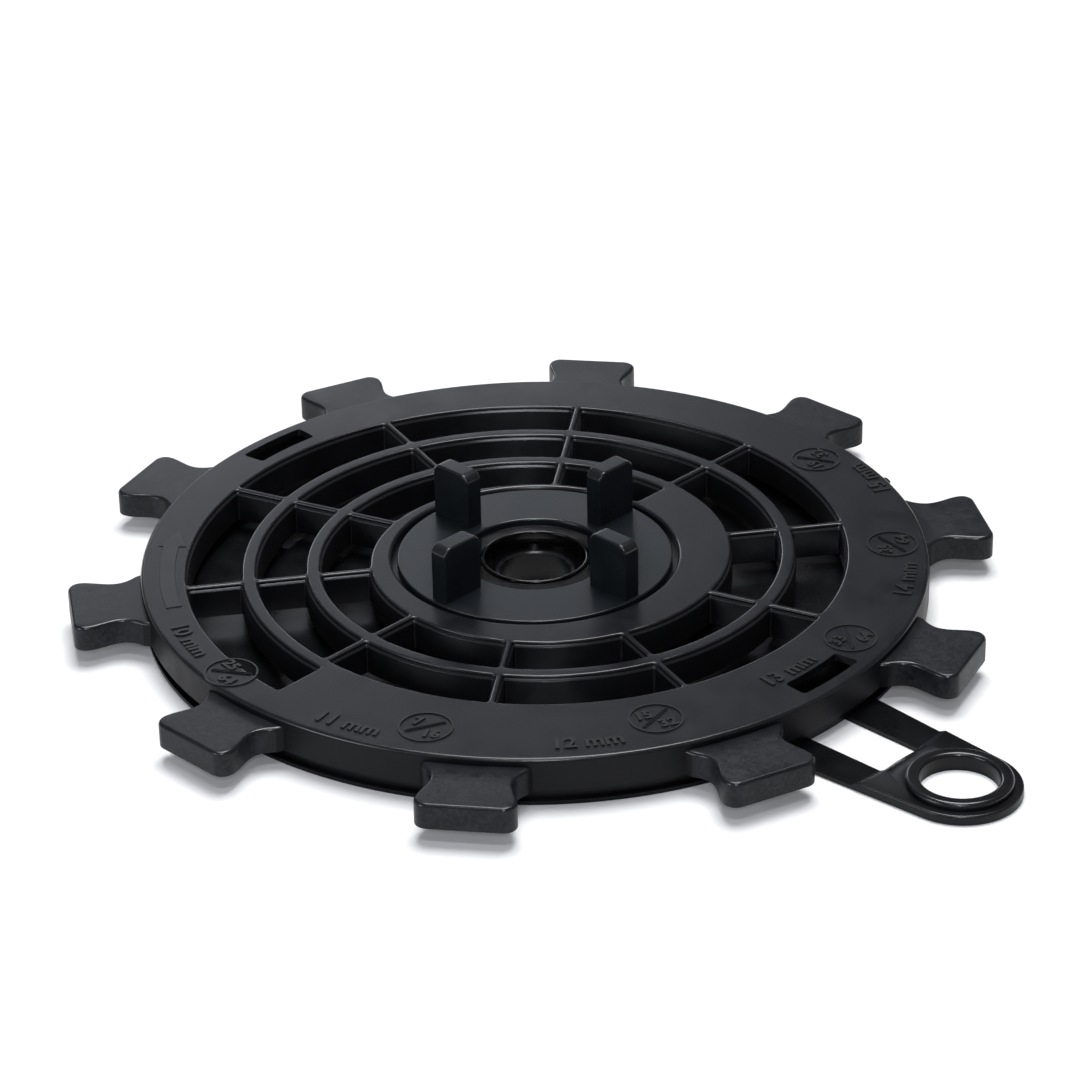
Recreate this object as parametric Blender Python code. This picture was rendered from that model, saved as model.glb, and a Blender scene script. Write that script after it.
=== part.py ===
"""Low adjustable decking pedestal, shown at its 13 mm setting.

A toothed head with a spiral grille turns on a centre bush. Three feet under its rim climb three helical
ramps on the base, so a clockwise turn of one tooth pitch lifts it by one millimetre. A loose spacer insert
with four tabs sits in the middle of the head. The base lies on the roof and ends in a lever with an eye,
which points at the setting. Sizes are in metres, +Z is up, and the origin is on the turning axis at the floor.
"""

import math

import bmesh
import bpy

MM = 0.001

# Settings and travel
REST_HEIGHT = 13.0 * MM
LOWEST_HEIGHT = 10.0 * MM
HIGHEST_HEIGHT = 15.0 * MM
LIFT_PER_TOOTH = 1.0 * MM
TOOTH_COUNT = 10
RUNNING_GAP = 0.25 * MM

# Head: the disc and its skirt
DISC_RADIUS = 100.0 * MM
RIM_CHAMFER = 1.0 * MM
PLATE_THICKNESS = 2.0 * MM
SKIRT_WALL = 1.6 * MM
MOULDED_WALL = 1.6 * MM
FIRST_RIB_AZIMUTH = 9.5
RIB_THICKNESS = 1.5 * MM

# Head: the spiral grille, measured along the spiral angle
GRILLE_START = 45.0
GRILLE_END = 946.9
FIRST_RIB_ANGLE = 45.5
GRILLE_TURNS = 2.5
FIRST_CELL_WIDTH = 10.43 * MM
RIM_WIDTH = 10.995 * MM
RING_INNER_OPENING = 1.45 * MM
RING_WIDTH = 3.4 * MM
CELL_CORNER = 0.9 * MM
EDGE_ROUNDING = 0.4 * MM
LEDGE_DROP = 0.9 * MM
LEDGE_WIDTH = 0.5 * MM

# Head: the two slots through the rim
SLOT_AZIMUTHS = (137.1, 317.1)
SLOT_EDGE_WIDTH = 3.5 * MM
SLOT_WIDTH = 6.5 * MM
SLOT_SPAN = 12.3

# Head: the teeth
TOOTH_REACH = 18.0 * MM
TOOTH_DROP = 2.0 * MM
TOOTH_HALF_WIDTH = 12.0 * MM
TOOTH_NECK_HALF_WIDTH = 9.8 * MM
TOOTH_ROOT_HALF_WIDTH = 13.4 * MM
TOOTH_NECK_DISTANCE = 6.0 * MM
TOOTH_CORNER = 3.2 * MM
TOOTH_TOP_ROUNDING = 1.0 * MM
TOOTH_WALL = 2.0 * MM

# Head: the recess for the insert and the bore for the bush
INSERT_GAP = 1.45 * MM
RECESS_DEPTH = 2.6 * MM
RECESS_CHAMFER = 0.95 * MM
RECESS_FLOOR = 1.6 * MM
RECESS_WALL = 1.5 * MM
SPIGOT_HEIGHT = 1.2 * MM
SPIGOT_WALL = 4.05 * MM
BOSS_WALL = 2.3 * MM

# Spacer insert
INSERT_RADIUS = 35.0 * MM
INSERT_SINK = 0.2 * MM
INSERT_EDGE = 0.4 * MM
TAB_AZIMUTH = 45.0
TAB_COUNT = 4
TAB_FROM_HOLE = 2.9 * MM
TAB_FROM_EDGE = 1.0 * MM
TAB_THICKNESS = 5.0 * MM
TAB_HEIGHT = 15.0 * MM
TAB_CORNER = 2.5 * MM
TAB_EDGE = 0.5 * MM
TAB_ROOT = 1.0 * MM

# Centre bush
BUSH_LIP_WIDTH = 1.0 * MM
BUSH_SINK = 0.6 * MM
BUSH_GUIDE_WIDTH = 2.35 * MM
BUSH_GUIDE_HEIGHT = 3.15 * MM
BUSH_FLANGE_WIDTH = 2.2 * MM
BUSH_FLANGE_HEIGHT = 1.4 * MM

# Base
BASE_INSET = 0.6 * MM
BASE_THICKNESS = 1.2 * MM
STEM_BORE_RADIUS = 9.0 * MM
STEM_WALL = 1.2 * MM
STEM_ABOVE_GUIDE = 0.7 * MM

# Lift: three ramps side by side, and the foot of the head on each
RAMP_COUNT = 3
RAMP_WALL = 1.7 * MM
RAMP_GAP = 0.3 * MM
RAMP_FROM_SKIRT = 0.5 * MM
RAMP_LOWEST = 2.0 * MM
FOOT_SPAN = 12.0
INNER_FOOT_AZIMUTH = 60.0
RAMP_STEP = 4.0

# Lever
LEVER_AZIMUTH = 315.3
LEVER_ROOT_HALF_WIDTH = 18.0 * MM
LEVER_THICKNESS = 2.6 * MM
LEVER_ROUNDING = 0.5 * MM
LEVER_CLEAR_OF_TEETH = 1.7 * MM
EYE_RADIUS = 9.45 * MM
EYE_COLLAR_WIDTH = 3.35 * MM
EYE_COLLAR_HEIGHT = 4.5 * MM
EYE_COLLAR_ROUNDING = 0.8 * MM
EYE_BORDER = 2.2 * MM
EYE_CLEAR_OF_TEETH = 6.9 * MM
LEVER_WINDOW_INSET = 3.9 * MM
LEVER_WINDOW_HALF_WIDTH = 7.0 * MM
LEVER_WINDOW_CORNER = 2.0 * MM
LEVER_WINDOW_FROM_END = 3.0 * MM

# Fineness of the round stretches
ARC_STEP = 7.2
ROUND_STEP = 3.6
HUB_STEP = 6.0
CORNER_STEPS = 1
HALFWAY_IN = 0.29
CUT_OVERSHOOT = 2.0 * MM
LEAST_RIM_POCKET = 3.0 * MM
LEAST_HUB_POCKET = 2.5 * MM

# Places that follow from the sizes above
PITCH_ANGLE = 360.0 / TOOTH_COUNT
DESCENT = REST_HEIGHT - LOWEST_HEIGHT
ASCENT = HIGHEST_HEIGHT - REST_HEIGHT
HEAD_TOP = REST_HEIGHT
HEAD_BOTTOM = BASE_THICKNESS + RUNNING_GAP + DESCENT
PLATE_UNDERSIDE = HEAD_TOP - PLATE_THICKNESS
SKIRT_INNER_RADIUS = DISC_RADIUS - SKIRT_WALL
SLOT_OUTER_RADIUS = DISC_RADIUS - SLOT_EDGE_WIDTH
SLOT_INNER_RADIUS = SLOT_OUTER_RADIUS - SLOT_WIDTH
GUIDE_RADIUS = STEM_BORE_RADIUS + STEM_WALL + RUNNING_GAP
BUSH_BORE_RADIUS = GUIDE_RADIUS + BUSH_GUIDE_WIDTH
BUSH_RADIUS = BUSH_BORE_RADIUS + BUSH_LIP_WIDTH
BORE_RADIUS = BUSH_RADIUS + RUNNING_GAP
SPIGOT_RADIUS = BORE_RADIUS + SPIGOT_WALL
INSERT_HOLE_RADIUS = SPIGOT_RADIUS + 2 * RUNNING_GAP
TAB_INNER_RADIUS = INSERT_HOLE_RADIUS + TAB_FROM_HOLE
TAB_OUTER_RADIUS = INSERT_RADIUS - TAB_FROM_EDGE
RECESS_RADIUS = INSERT_RADIUS + INSERT_GAP
RECESS_FLOOR_TOP = HEAD_TOP - RECESS_DEPTH
RECESS_FLOOR_UNDERSIDE = RECESS_FLOOR_TOP - RECESS_FLOOR
HUB_EDGE_RADIUS = RECESS_RADIUS + RECESS_WALL
RING_INNER_START = HUB_EDGE_RADIUS + FIRST_CELL_WIDTH
RING_INNER_PITCH = (DISC_RADIUS - RIM_WIDTH - RING_INNER_START) / GRILLE_TURNS
FLANGE_TOP = HEAD_BOTTOM + BUSH_FLANGE_HEIGHT
FLANGE_RADIUS = BUSH_RADIUS + BUSH_FLANGE_WIDTH
BOSS_BOTTOM = FLANGE_TOP + RUNNING_GAP
RAMP_OUTER_RADIUS = SKIRT_INNER_RADIUS - RAMP_FROM_SKIRT
RAMP_PITCH = RAMP_WALL + RAMP_GAP
RAMP_INNER_RADIUS = RAMP_OUTER_RADIUS - RAMP_COUNT * RAMP_PITCH + RAMP_GAP
CHANNEL_INNER_RADIUS = RAMP_INNER_RADIUS - RAMP_GAP
FOOT_BOTTOM = RAMP_LOWEST + DESCENT + RUNNING_GAP
BASE_RADIUS = DISC_RADIUS - BASE_INSET
STEM_HEIGHT = HEAD_BOTTOM + BUSH_GUIDE_HEIGHT + STEM_ABOVE_GUIDE
EYE_COLLAR_RADIUS = EYE_RADIUS + EYE_COLLAR_WIDTH
LEVER_END_RADIUS = EYE_COLLAR_RADIUS + EYE_BORDER
LEVER_EYE_DISTANCE = DISC_RADIUS + TOOTH_REACH + EYE_CLEAR_OF_TEETH + EYE_COLLAR_RADIUS
LEVER_WINDOW_START = BASE_RADIUS - LEVER_WINDOW_INSET


def point(radius, azimuth):
    """The point at this radius and azimuth in degrees, counter-clockwise from +X."""
    angle = math.radians(azimuth)
    return (radius * math.cos(angle), radius * math.sin(angle))


def circle(radius, step):
    """A closed outline of the whole circle."""
    count = round(360.0 / step)
    return [point(radius, 360.0 * i / count) for i in range(count)]


def steps_between(start, end, step):
    """Azimuths from start to end, both included, at equal steps of about this size."""
    count = max(1, math.ceil(abs(end - start) / step - 1e-6))
    return [start + (end - start) * i / count for i in range(count + 1)]


def ring_inner(angle):
    """Radius of the spiral's inner edge. The last turn opens a little more to run out at the rim."""
    turns = (angle - GRILLE_START - 360.0) / 360.0
    last_turn = max(0.0, (angle - GRILLE_END) / 360.0)
    return RING_INNER_START + RING_INNER_PITCH * turns + RING_INNER_OPENING * last_turn


def ring_outer(angle):
    """Radius of the spiral's outer edge, and of the hub plate's edge on the first turn."""
    return max(ring_inner(angle) + RING_WIDTH, HUB_EDGE_RADIUS)


def flank_point(radius, azimuth, offset):
    """A point of a radial rib's flank, which is parallel to the rib's centre line at this offset."""
    return point(radius, azimuth + math.degrees(math.asin(offset / radius)))


def corner_arc(radius, azimuth, offset, outwards, around, size):
    """The rounded corner where a flank meets an edge, from the flank to the edge."""
    flank = flank_point(radius, azimuth, offset)
    radial = point(1.0, azimuth)
    tangent = (-radial[1], radial[0])
    arc = []
    for i in range(CORNER_STEPS + 1):
        turn = math.radians(90.0) * i / CORNER_STEPS
        along_radial = -outwards * size * (1.0 - math.sin(turn))
        along_tangent = around * size * (1.0 - math.cos(turn))
        arc.append(
            (
                flank[0] + along_radial * radial[0] + along_tangent * tangent[0],
                flank[1] + along_radial * radial[1] + along_tangent * tangent[1],
            )
        )
    return arc


def sector_outline(start, end, start_offset, end_offset, inner_at, outer_at, corner, step):
    """A cell or pocket between two flanks and two edges, whose radii are functions of the angle."""
    margin = 0.08 * step
    inner = []
    outer = []
    for angle in steps_between(start, end, step)[1:-1]:
        for edge, radius_at in ((inner, inner_at), (outer, outer_at)):
            radius = radius_at(angle)
            taken = math.degrees((corner + start_offset) / radius)
            left = math.degrees((corner + end_offset) / radius)
            if start + taken + margin < angle < end - left - margin:
                edge.append(point(radius, angle))
    inner_first = corner_arc(inner_at(start), start, start_offset, -1, 1, corner)
    inner_last = corner_arc(inner_at(end), end, -end_offset, -1, -1, corner)
    outer_last = corner_arc(outer_at(end), end, -end_offset, 1, -1, corner)
    outer_first = corner_arc(outer_at(start), start, start_offset, 1, 1, corner)
    return (
        inner_first
        + inner
        + inner_last[::-1]
        + outer_last
        + outer[::-1]
        + outer_first[::-1]
    )


def moved_in(outline, distance):
    """The outline with each side moved inwards by this distance, or outwards where it is negative."""
    count = len(outline)
    area = sum(
        outline[i][0] * outline[(i + 1) % count][1] - outline[(i + 1) % count][0] * outline[i][1]
        for i in range(count)
    )
    sign = 1.0 if area > 0.0 else -1.0
    moved = []
    for i in range(count):
        before = outline[i - 1]
        here = outline[i]
        after = outline[(i + 1) % count]
        first = math.atan2(here[1] - before[1], here[0] - before[0])
        second = math.atan2(after[1] - here[1], after[0] - here[0])
        normal_x = -math.sin(first) - math.sin(second)
        normal_y = math.cos(first) + math.cos(second)
        scale = 2.0 * sign * distance / (normal_x * normal_x + normal_y * normal_y)
        moved.append((here[0] + scale * normal_x, here[1] + scale * normal_y))
    return moved


def loop_edges(mesh, outline, height):
    """The outline as vertices at this height, and the edges that close it."""
    verts = [mesh.verts.new((x, y, height)) for x, y in outline]
    edges = [mesh.edges.new((verts[i - 1], verts[i])) for i in range(len(verts))]
    return verts, edges


def wall_between(mesh, lower, upper):
    """A band of faces between two loops of as many vertices."""
    for i in range(len(lower)):
        mesh.faces.new((lower[i - 1], lower[i], upper[i], upper[i - 1]))


def stacked_walls(mesh, outline, layers):
    """Walls through the layers (height, inset) of an outline. Returns the first and last loops' edges."""
    loops = [loop_edges(mesh, moved_in(outline, inset), height) for height, inset in layers]
    for (lower, _), (upper, _) in zip(loops, loops[1:]):
        wall_between(mesh, lower, upper)
    return loops[0][1], loops[-1][1]


def finished(name, mesh, collection):
    """The bmesh as an object, with its faces turned outwards."""
    bmesh.ops.remove_doubles(mesh, verts=mesh.verts, dist=1e-7)
    bmesh.ops.recalc_face_normals(mesh, faces=mesh.faces)
    data = bpy.data.meshes.new(name)
    mesh.to_mesh(data)
    mesh.free()
    made = bpy.data.objects.new(name, data)
    collection.objects.link(made)
    return made


def plate(name, collection, outline, layers, holes=(), hole_layers=()):
    """A moulded plate: an outline and its holes, each with its own stack of layers, closed top and bottom."""
    mesh = bmesh.new()
    bottom, top = stacked_walls(mesh, outline, layers)
    for hole in holes:
        hole_bottom, hole_top = stacked_walls(mesh, hole, hole_layers)
        bottom = bottom + hole_bottom
        top = top + hole_top
    bmesh.ops.triangle_fill(mesh, edges=bottom, use_beauty=True)
    bmesh.ops.triangle_fill(mesh, edges=top, use_beauty=True)
    return finished(name, mesh, collection)


def prisms(name, collection, outlines, low, high):
    """Straight prisms of the outlines, as one object."""
    mesh = bmesh.new()
    for outline in outlines:
        bottom, top = stacked_walls(mesh, outline, ((low, 0.0), (high, 0.0)))
        bmesh.ops.triangle_fill(mesh, edges=bottom, use_beauty=True)
        bmesh.ops.triangle_fill(mesh, edges=top, use_beauty=True)
    return finished(name, mesh, collection)


def turned(name, collection, profile, step, centre=(0.0, 0.0)):
    """The closed profile of (radius, height) points, turned round the vertical axis at this centre."""
    mesh = bmesh.new()
    verts = [mesh.verts.new((radius, 0.0, height)) for radius, height in profile]
    on_axis = [radius == 0.0 for radius, _ in profile]
    edges = [
        mesh.edges.new((verts[i - 1], verts[i]))
        for i in range(len(verts))
        if not (on_axis[i - 1] and on_axis[i])
    ]
    bmesh.ops.spin(
        mesh,
        geom=verts + edges,
        axis=(0.0, 0.0, 1.0),
        cent=(0.0, 0.0, 0.0),
        angle=math.tau,
        steps=round(360.0 / step),
        use_merge=True,
        use_normal_flip=False,
        use_duplicate=False,
    )
    bmesh.ops.remove_doubles(mesh, verts=mesh.verts, dist=1e-7)
    bmesh.ops.translate(mesh, verts=mesh.verts, vec=(centre[0], centre[1], 0.0))
    return finished(name, mesh, collection)


def helical_wall(mesh, inner, outer, start, end, low_at, high_at):
    """A curved wall between two radii, whose bottom and top are functions of the azimuth."""
    rows = []
    for azimuth in steps_between(start, end, RAMP_STEP):
        corners = (
            (inner, low_at(azimuth)),
            (outer, low_at(azimuth)),
            (outer, high_at(azimuth)),
            (inner, high_at(azimuth)),
        )
        rows.append([mesh.verts.new((*point(radius, azimuth), height)) for radius, height in corners])
    for before, after in zip(rows, rows[1:]):
        wall_between(mesh, before, after)
    mesh.faces.new(rows[0])
    mesh.faces.new(rows[-1])


def combine(target, other, operation):
    """Joins the other object to the target, or cuts it away."""
    modifier = target.modifiers.new(f"{operation.lower()} {other.name}", "BOOLEAN")
    modifier.operation = operation
    modifier.solver = "EXACT"
    modifier.object = other
    other.hide_render = True
    other.display_type = "WIRE"


def rest_lift(azimuth, foot_azimuth):
    """How much higher a ramp is at this azimuth than under its foot at rest."""
    return (foot_azimuth - azimuth) / PITCH_ANGLE * LIFT_PER_TOOTH


def foot_azimuth(index):
    """The feet stand evenly round the head, one on each ramp."""
    return INNER_FOOT_AZIMUTH + index * 360.0 / RAMP_COUNT


def ramp_radii(index):
    """The ramps lie side by side, the first one innermost."""
    inner = RAMP_INNER_RADIUS + index * RAMP_PITCH
    return inner, inner + RAMP_WALL


def grille_cells():
    """The openings between the spiral and the radial ribs."""
    sides = [GRILLE_START]
    rib = FIRST_RIB_ANGLE + PITCH_ANGLE
    while rib < GRILLE_END - PITCH_ANGLE / 2:
        sides.append(rib)
        rib += PITCH_ANGLE
    sides.append(GRILLE_END)
    cells = []
    for start, end in zip(sides, sides[1:]):
        start_offset = 0.0 if start == GRILLE_START else RIB_THICKNESS / 2
        end_offset = 0.0 if end == GRILLE_END else RIB_THICKNESS / 2
        cells.append(
            sector_outline(
                start,
                end,
                start_offset,
                end_offset,
                ring_outer,
                lambda angle: ring_inner(angle + 360.0),
                CELL_CORNER,
                ARC_STEP,
            )
        )
    return cells


def rim_slots():
    """The slots through the rim plate, near its edge."""
    return [
        sector_outline(
            azimuth - SLOT_SPAN / 2,
            azimuth + SLOT_SPAN / 2,
            0.0,
            0.0,
            lambda angle: SLOT_INNER_RADIUS,
            lambda angle: SLOT_OUTER_RADIUS,
            CELL_CORNER,
            ROUND_STEP,
        )
        for azimuth in SLOT_AZIMUTHS
    ]


def rim_pockets():
    """Underside pockets between the last turn of the spiral, the ramp channel and the radial ribs."""
    pockets = []
    for i in range(TOOTH_COUNT):
        start = GRILLE_END - (GRILLE_END - FIRST_RIB_ANGLE) % PITCH_ANGLE + i * PITCH_ANGLE
        end = start + PITCH_ANGLE
        start_offset = end_offset = RIB_THICKNESS / 2
        if i == 0:
            start = GRILLE_END
            start_offset = 2 * MOULDED_WALL
        middle = (start + end) / 2
        if CHANNEL_INNER_RADIUS - ring_inner(middle) - MOULDED_WALL < LEAST_RIM_POCKET:
            continue
        pockets.append(
            sector_outline(
                start,
                end,
                start_offset,
                end_offset,
                lambda angle: ring_inner(angle) + MOULDED_WALL,
                lambda angle: CHANNEL_INNER_RADIUS + RAMP_GAP,
                CELL_CORNER,
                ARC_STEP,
            )
        )
    return pockets


def hub_pockets():
    """Underside pockets between the recess's wall and the first turn of the spiral."""
    pockets = []
    for i in range(TOOTH_COUNT):
        start = FIRST_RIB_ANGLE + i * PITCH_ANGLE
        end = start + PITCH_ANGLE
        end_offset = 2 * MOULDED_WALL if i == TOOTH_COUNT - 1 else RIB_THICKNESS / 2
        middle = (start + end) / 2
        if ring_outer(middle) - MOULDED_WALL - HUB_EDGE_RADIUS < LEAST_HUB_POCKET:
            continue
        pockets.append(
            sector_outline(
                start,
                end,
                RIB_THICKNESS / 2,
                end_offset,
                lambda angle: HUB_EDGE_RADIUS,
                lambda angle: ring_outer(angle) - MOULDED_WALL,
                CELL_CORNER,
                ARC_STEP,
            )
        )
    return pockets


def floor_pockets():
    """Underside pockets below the recess's floor, between the boss and the recess's wall."""
    return [
        sector_outline(
            FIRST_RIB_AZIMUTH + i * PITCH_ANGLE,
            FIRST_RIB_AZIMUTH + (i + 1) * PITCH_ANGLE,
            RIB_THICKNESS / 2,
            RIB_THICKNESS / 2,
            lambda angle: BORE_RADIUS + BOSS_WALL,
            lambda angle: RECESS_RADIUS - MOULDED_WALL,
            CELL_CORNER,
            ROUND_STEP * 4,
        )
        for i in range(TOOTH_COUNT)
    ]


def tooth_half_width(distance):
    """Half of a tooth's width at this distance outside the disc."""
    if distance < TOOTH_NECK_DISTANCE:
        share = (TOOTH_NECK_DISTANCE - distance) / TOOTH_NECK_DISTANCE
        return TOOTH_NECK_HALF_WIDTH + (TOOTH_ROOT_HALF_WIDTH - TOOTH_NECK_HALF_WIDTH) * share**2
    reach = TOOTH_REACH - TOOTH_CORNER - TOOTH_NECK_DISTANCE
    share = (distance - TOOTH_NECK_DISTANCE) / reach
    eased = share * share * (3.0 - 2.0 * share)
    return TOOTH_NECK_HALF_WIDTH + (TOOTH_HALF_WIDTH - TOOTH_NECK_HALF_WIDTH) * eased


def tooth_outline():
    """A tooth along +X: flared root, narrow neck and a broad end with round corners."""
    root = -SKIRT_WALL + 0.2 * MM
    corner_start = TOOTH_REACH - TOOTH_CORNER
    side_steps = 5
    upper = [(DISC_RADIUS + root, tooth_half_width(0.0))]
    for i in range(1, side_steps):
        distance = corner_start * i / side_steps
        upper.append((DISC_RADIUS + distance, tooth_half_width(distance)))
    for i in range(3):
        turn = math.radians(90.0) * (1.0 - i / 2)
        upper.append(
            (
                DISC_RADIUS + corner_start + TOOTH_CORNER * math.cos(turn),
                TOOTH_HALF_WIDTH - TOOTH_CORNER + TOOTH_CORNER * math.sin(turn),
            )
        )
    return upper + [(x, -y) for x, y in reversed(upper)]


def turned_outline(outline, azimuth):
    """The outline turned about the axis to this azimuth."""
    cosine = math.cos(math.radians(azimuth))
    sine = math.sin(math.radians(azimuth))
    return [(x * cosine - y * sine, x * sine + y * cosine) for x, y in outline]


def make_teeth(collection):
    """Hollow teeth, open at the bottom, with a rounded top a little below the disc."""
    top = HEAD_TOP - TOOTH_DROP
    layers = (
        (HEAD_BOTTOM, 0.0),
        (top - TOOTH_TOP_ROUNDING, 0.0),
        (top - HALFWAY_IN * TOOTH_TOP_ROUNDING, HALFWAY_IN * TOOTH_TOP_ROUNDING),
        (top, TOOTH_TOP_ROUNDING),
    )
    hollow = ((HEAD_BOTTOM, TOOTH_WALL), (top - TOOTH_WALL, TOOTH_WALL))
    mesh = bmesh.new()
    for i in range(TOOTH_COUNT):
        outline = turned_outline(tooth_outline(), FIRST_RIB_AZIMUTH + i * PITCH_ANGLE)
        outer_bottom, outer_top = stacked_walls(mesh, outline, layers)
        inner_bottom, inner_roof = stacked_walls(mesh, outline, hollow)
        bmesh.ops.triangle_fill(mesh, edges=outer_bottom + inner_bottom, use_beauty=True)
        bmesh.ops.triangle_fill(mesh, edges=outer_top, use_beauty=True)
        bmesh.ops.triangle_fill(mesh, edges=inner_roof, use_beauty=True)
    return finished("teeth", mesh, collection)


def make_feet(collection):
    """The three feet under the rim plate. Each bottom follows its ramp."""
    mesh = bmesh.new()
    for i in range(RAMP_COUNT):
        inner, outer = ramp_radii(i)
        azimuth = foot_azimuth(i)
        helical_wall(
            mesh,
            inner,
            outer,
            azimuth - FOOT_SPAN / 2,
            azimuth + FOOT_SPAN / 2,
            lambda at, centre=azimuth: FOOT_BOTTOM + rest_lift(at, centre),
            lambda at: PLATE_UNDERSIDE + PLATE_THICKNESS / 2,
        )
    return finished("feet", mesh, collection)


def make_head(collection, cutters):
    """The toothed head: disc, grille, skirt, recess, teeth and feet, moulded in one piece."""
    shoulder = HEAD_TOP - LEDGE_DROP
    disc_layers = (
        (HEAD_BOTTOM, 0.0),
        (HEAD_TOP - RIM_CHAMFER, 0.0),
        (HEAD_TOP - HALFWAY_IN * RIM_CHAMFER, HALFWAY_IN * RIM_CHAMFER),
        (HEAD_TOP, RIM_CHAMFER),
    )
    cell_layers = (
        (HEAD_BOTTOM, LEDGE_WIDTH),
        (shoulder - LEDGE_WIDTH, LEDGE_WIDTH),
        (shoulder, 0.0),
        (HEAD_TOP - EDGE_ROUNDING, 0.0),
        (HEAD_TOP, -EDGE_ROUNDING),
    )
    head = plate("head", collection, circle(DISC_RADIUS, ROUND_STEP), disc_layers, grille_cells(), cell_layers)
    below = -CUT_OVERSHOOT
    channel = turned(
        "ramp_channel",
        cutters,
        (
            (CHANNEL_INNER_RADIUS, below),
            (CHANNEL_INNER_RADIUS, PLATE_UNDERSIDE),
            (SKIRT_INNER_RADIUS, PLATE_UNDERSIDE),
            (SKIRT_INNER_RADIUS, below),
        ),
        ROUND_STEP,
    )
    outer_pockets = prisms("underside_pockets", cutters, rim_pockets() + hub_pockets(), below, PLATE_UNDERSIDE)
    inner_pockets = prisms("floor_pockets", cutters, floor_pockets(), below, RECESS_FLOOR_UNDERSIDE)
    spigot_top = RECESS_FLOOR_TOP + SPIGOT_HEIGHT
    flange_bore = FLANGE_RADIUS + 2 * RUNNING_GAP
    above = HEAD_TOP + CUT_OVERSHOOT
    recess = turned(
        "recess",
        cutters,
        (
            (0.0, below),
            (flange_bore, below),
            (flange_bore, BOSS_BOTTOM),
            (BORE_RADIUS, BOSS_BOTTOM),
            (BORE_RADIUS, spigot_top),
            (SPIGOT_RADIUS, spigot_top),
            (SPIGOT_RADIUS, RECESS_FLOOR_TOP),
            (RECESS_RADIUS, RECESS_FLOOR_TOP),
            (RECESS_RADIUS, HEAD_TOP - RECESS_CHAMFER),
            (RECESS_RADIUS + RECESS_CHAMFER, HEAD_TOP),
            (RECESS_RADIUS + RECESS_CHAMFER, above),
            (0.0, above),
        ),
        HUB_STEP,
    )
    slots = prisms("rim_slots", cutters, rim_slots(), below, above)
    combine(head, channel, "DIFFERENCE")
    combine(head, outer_pockets, "DIFFERENCE")
    combine(head, inner_pockets, "DIFFERENCE")
    combine(head, recess, "DIFFERENCE")
    combine(head, make_feet(cutters), "UNION")
    combine(head, slots, "DIFFERENCE")
    combine(head, make_teeth(cutters), "UNION")
    return head


def make_tabs(collection):
    """The four upright tabs. Each is a rounded profile, seen from its side, with softened edges."""
    base = HEAD_TOP - INSERT_SINK - TAB_ROOT
    top = HEAD_TOP - INSERT_SINK + TAB_HEIGHT
    side = [(TAB_INNER_RADIUS, base), (TAB_OUTER_RADIUS, base)]
    for centre, first in ((TAB_OUTER_RADIUS - TAB_CORNER, 0.0), (TAB_INNER_RADIUS + TAB_CORNER, 90.0)):
        for i in range(5):
            turn = math.radians(first + 90.0 * i / 4)
            side.append((centre + TAB_CORNER * math.cos(turn), top - TAB_CORNER + TAB_CORNER * math.sin(turn)))
    half = TAB_THICKNESS / 2
    layers = ((-half, TAB_EDGE), (-half + TAB_EDGE, 0.0), (half - TAB_EDGE, 0.0), (half, TAB_EDGE))
    tabs = []
    for i in range(TAB_COUNT):
        tab = plate(f"tab_{i + 1}", collection, side, layers)
        azimuth = math.radians(TAB_AZIMUTH + i * 360.0 / TAB_COUNT)
        for vertex in tab.data.vertices:
            along, height, across = vertex.co
            vertex.co = (
                along * math.cos(azimuth) + across * math.sin(azimuth),
                along * math.sin(azimuth) - across * math.cos(azimuth),
                height,
            )
        tabs.append(tab)
    return tabs


def make_insert(collection, cutters):
    """The spacer insert: a flat ring that turns in the recess, with four tabs between the deck tiles."""
    underside = RECESS_FLOOR_TOP + RUNNING_GAP
    face = HEAD_TOP - INSERT_SINK
    insert = turned(
        "spacer_insert",
        collection,
        (
            (INSERT_HOLE_RADIUS, underside),
            (INSERT_HOLE_RADIUS, face - INSERT_EDGE),
            (INSERT_HOLE_RADIUS + INSERT_EDGE, face),
            (INSERT_RADIUS - INSERT_EDGE, face),
            (INSERT_RADIUS, face - INSERT_EDGE),
            (INSERT_RADIUS, underside),
        ),
        HUB_STEP,
    )
    for tab in make_tabs(cutters):
        combine(insert, tab, "UNION")
    return insert


def make_bush(collection):
    """The centre bush: it slides on the stem of the base, and its flange carries the head."""
    top = HEAD_TOP - INSERT_SINK - BUSH_SINK
    softened = BUSH_LIP_WIDTH / 3
    guide_top = HEAD_BOTTOM + BUSH_GUIDE_HEIGHT
    return turned(
        "centre_bush",
        collection,
        (
            (GUIDE_RADIUS, HEAD_BOTTOM),
            (GUIDE_RADIUS, guide_top),
            (BUSH_BORE_RADIUS, guide_top),
            (BUSH_BORE_RADIUS, top - softened),
            (BUSH_BORE_RADIUS + softened, top),
            (BUSH_RADIUS - softened, top),
            (BUSH_RADIUS, top - softened),
            (BUSH_RADIUS, FLANGE_TOP),
            (FLANGE_RADIUS, FLANGE_TOP),
            (FLANGE_RADIUS, HEAD_BOTTOM),
        ),
        HUB_STEP,
    )


def lever_sides():
    """The straight side of the lever: where it leaves the base, and where it meets the round end."""
    root_distance = math.sqrt(BASE_RADIUS**2 - LEVER_ROOT_HALF_WIDTH**2)
    run = LEVER_EYE_DISTANCE - root_distance
    gap = math.hypot(run, LEVER_ROOT_HALF_WIDTH)
    towards_root = math.atan2(LEVER_ROOT_HALF_WIDTH, -run)
    tangent = towards_root - math.acos(LEVER_END_RADIUS / gap)
    return root_distance, math.degrees(tangent)


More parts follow.
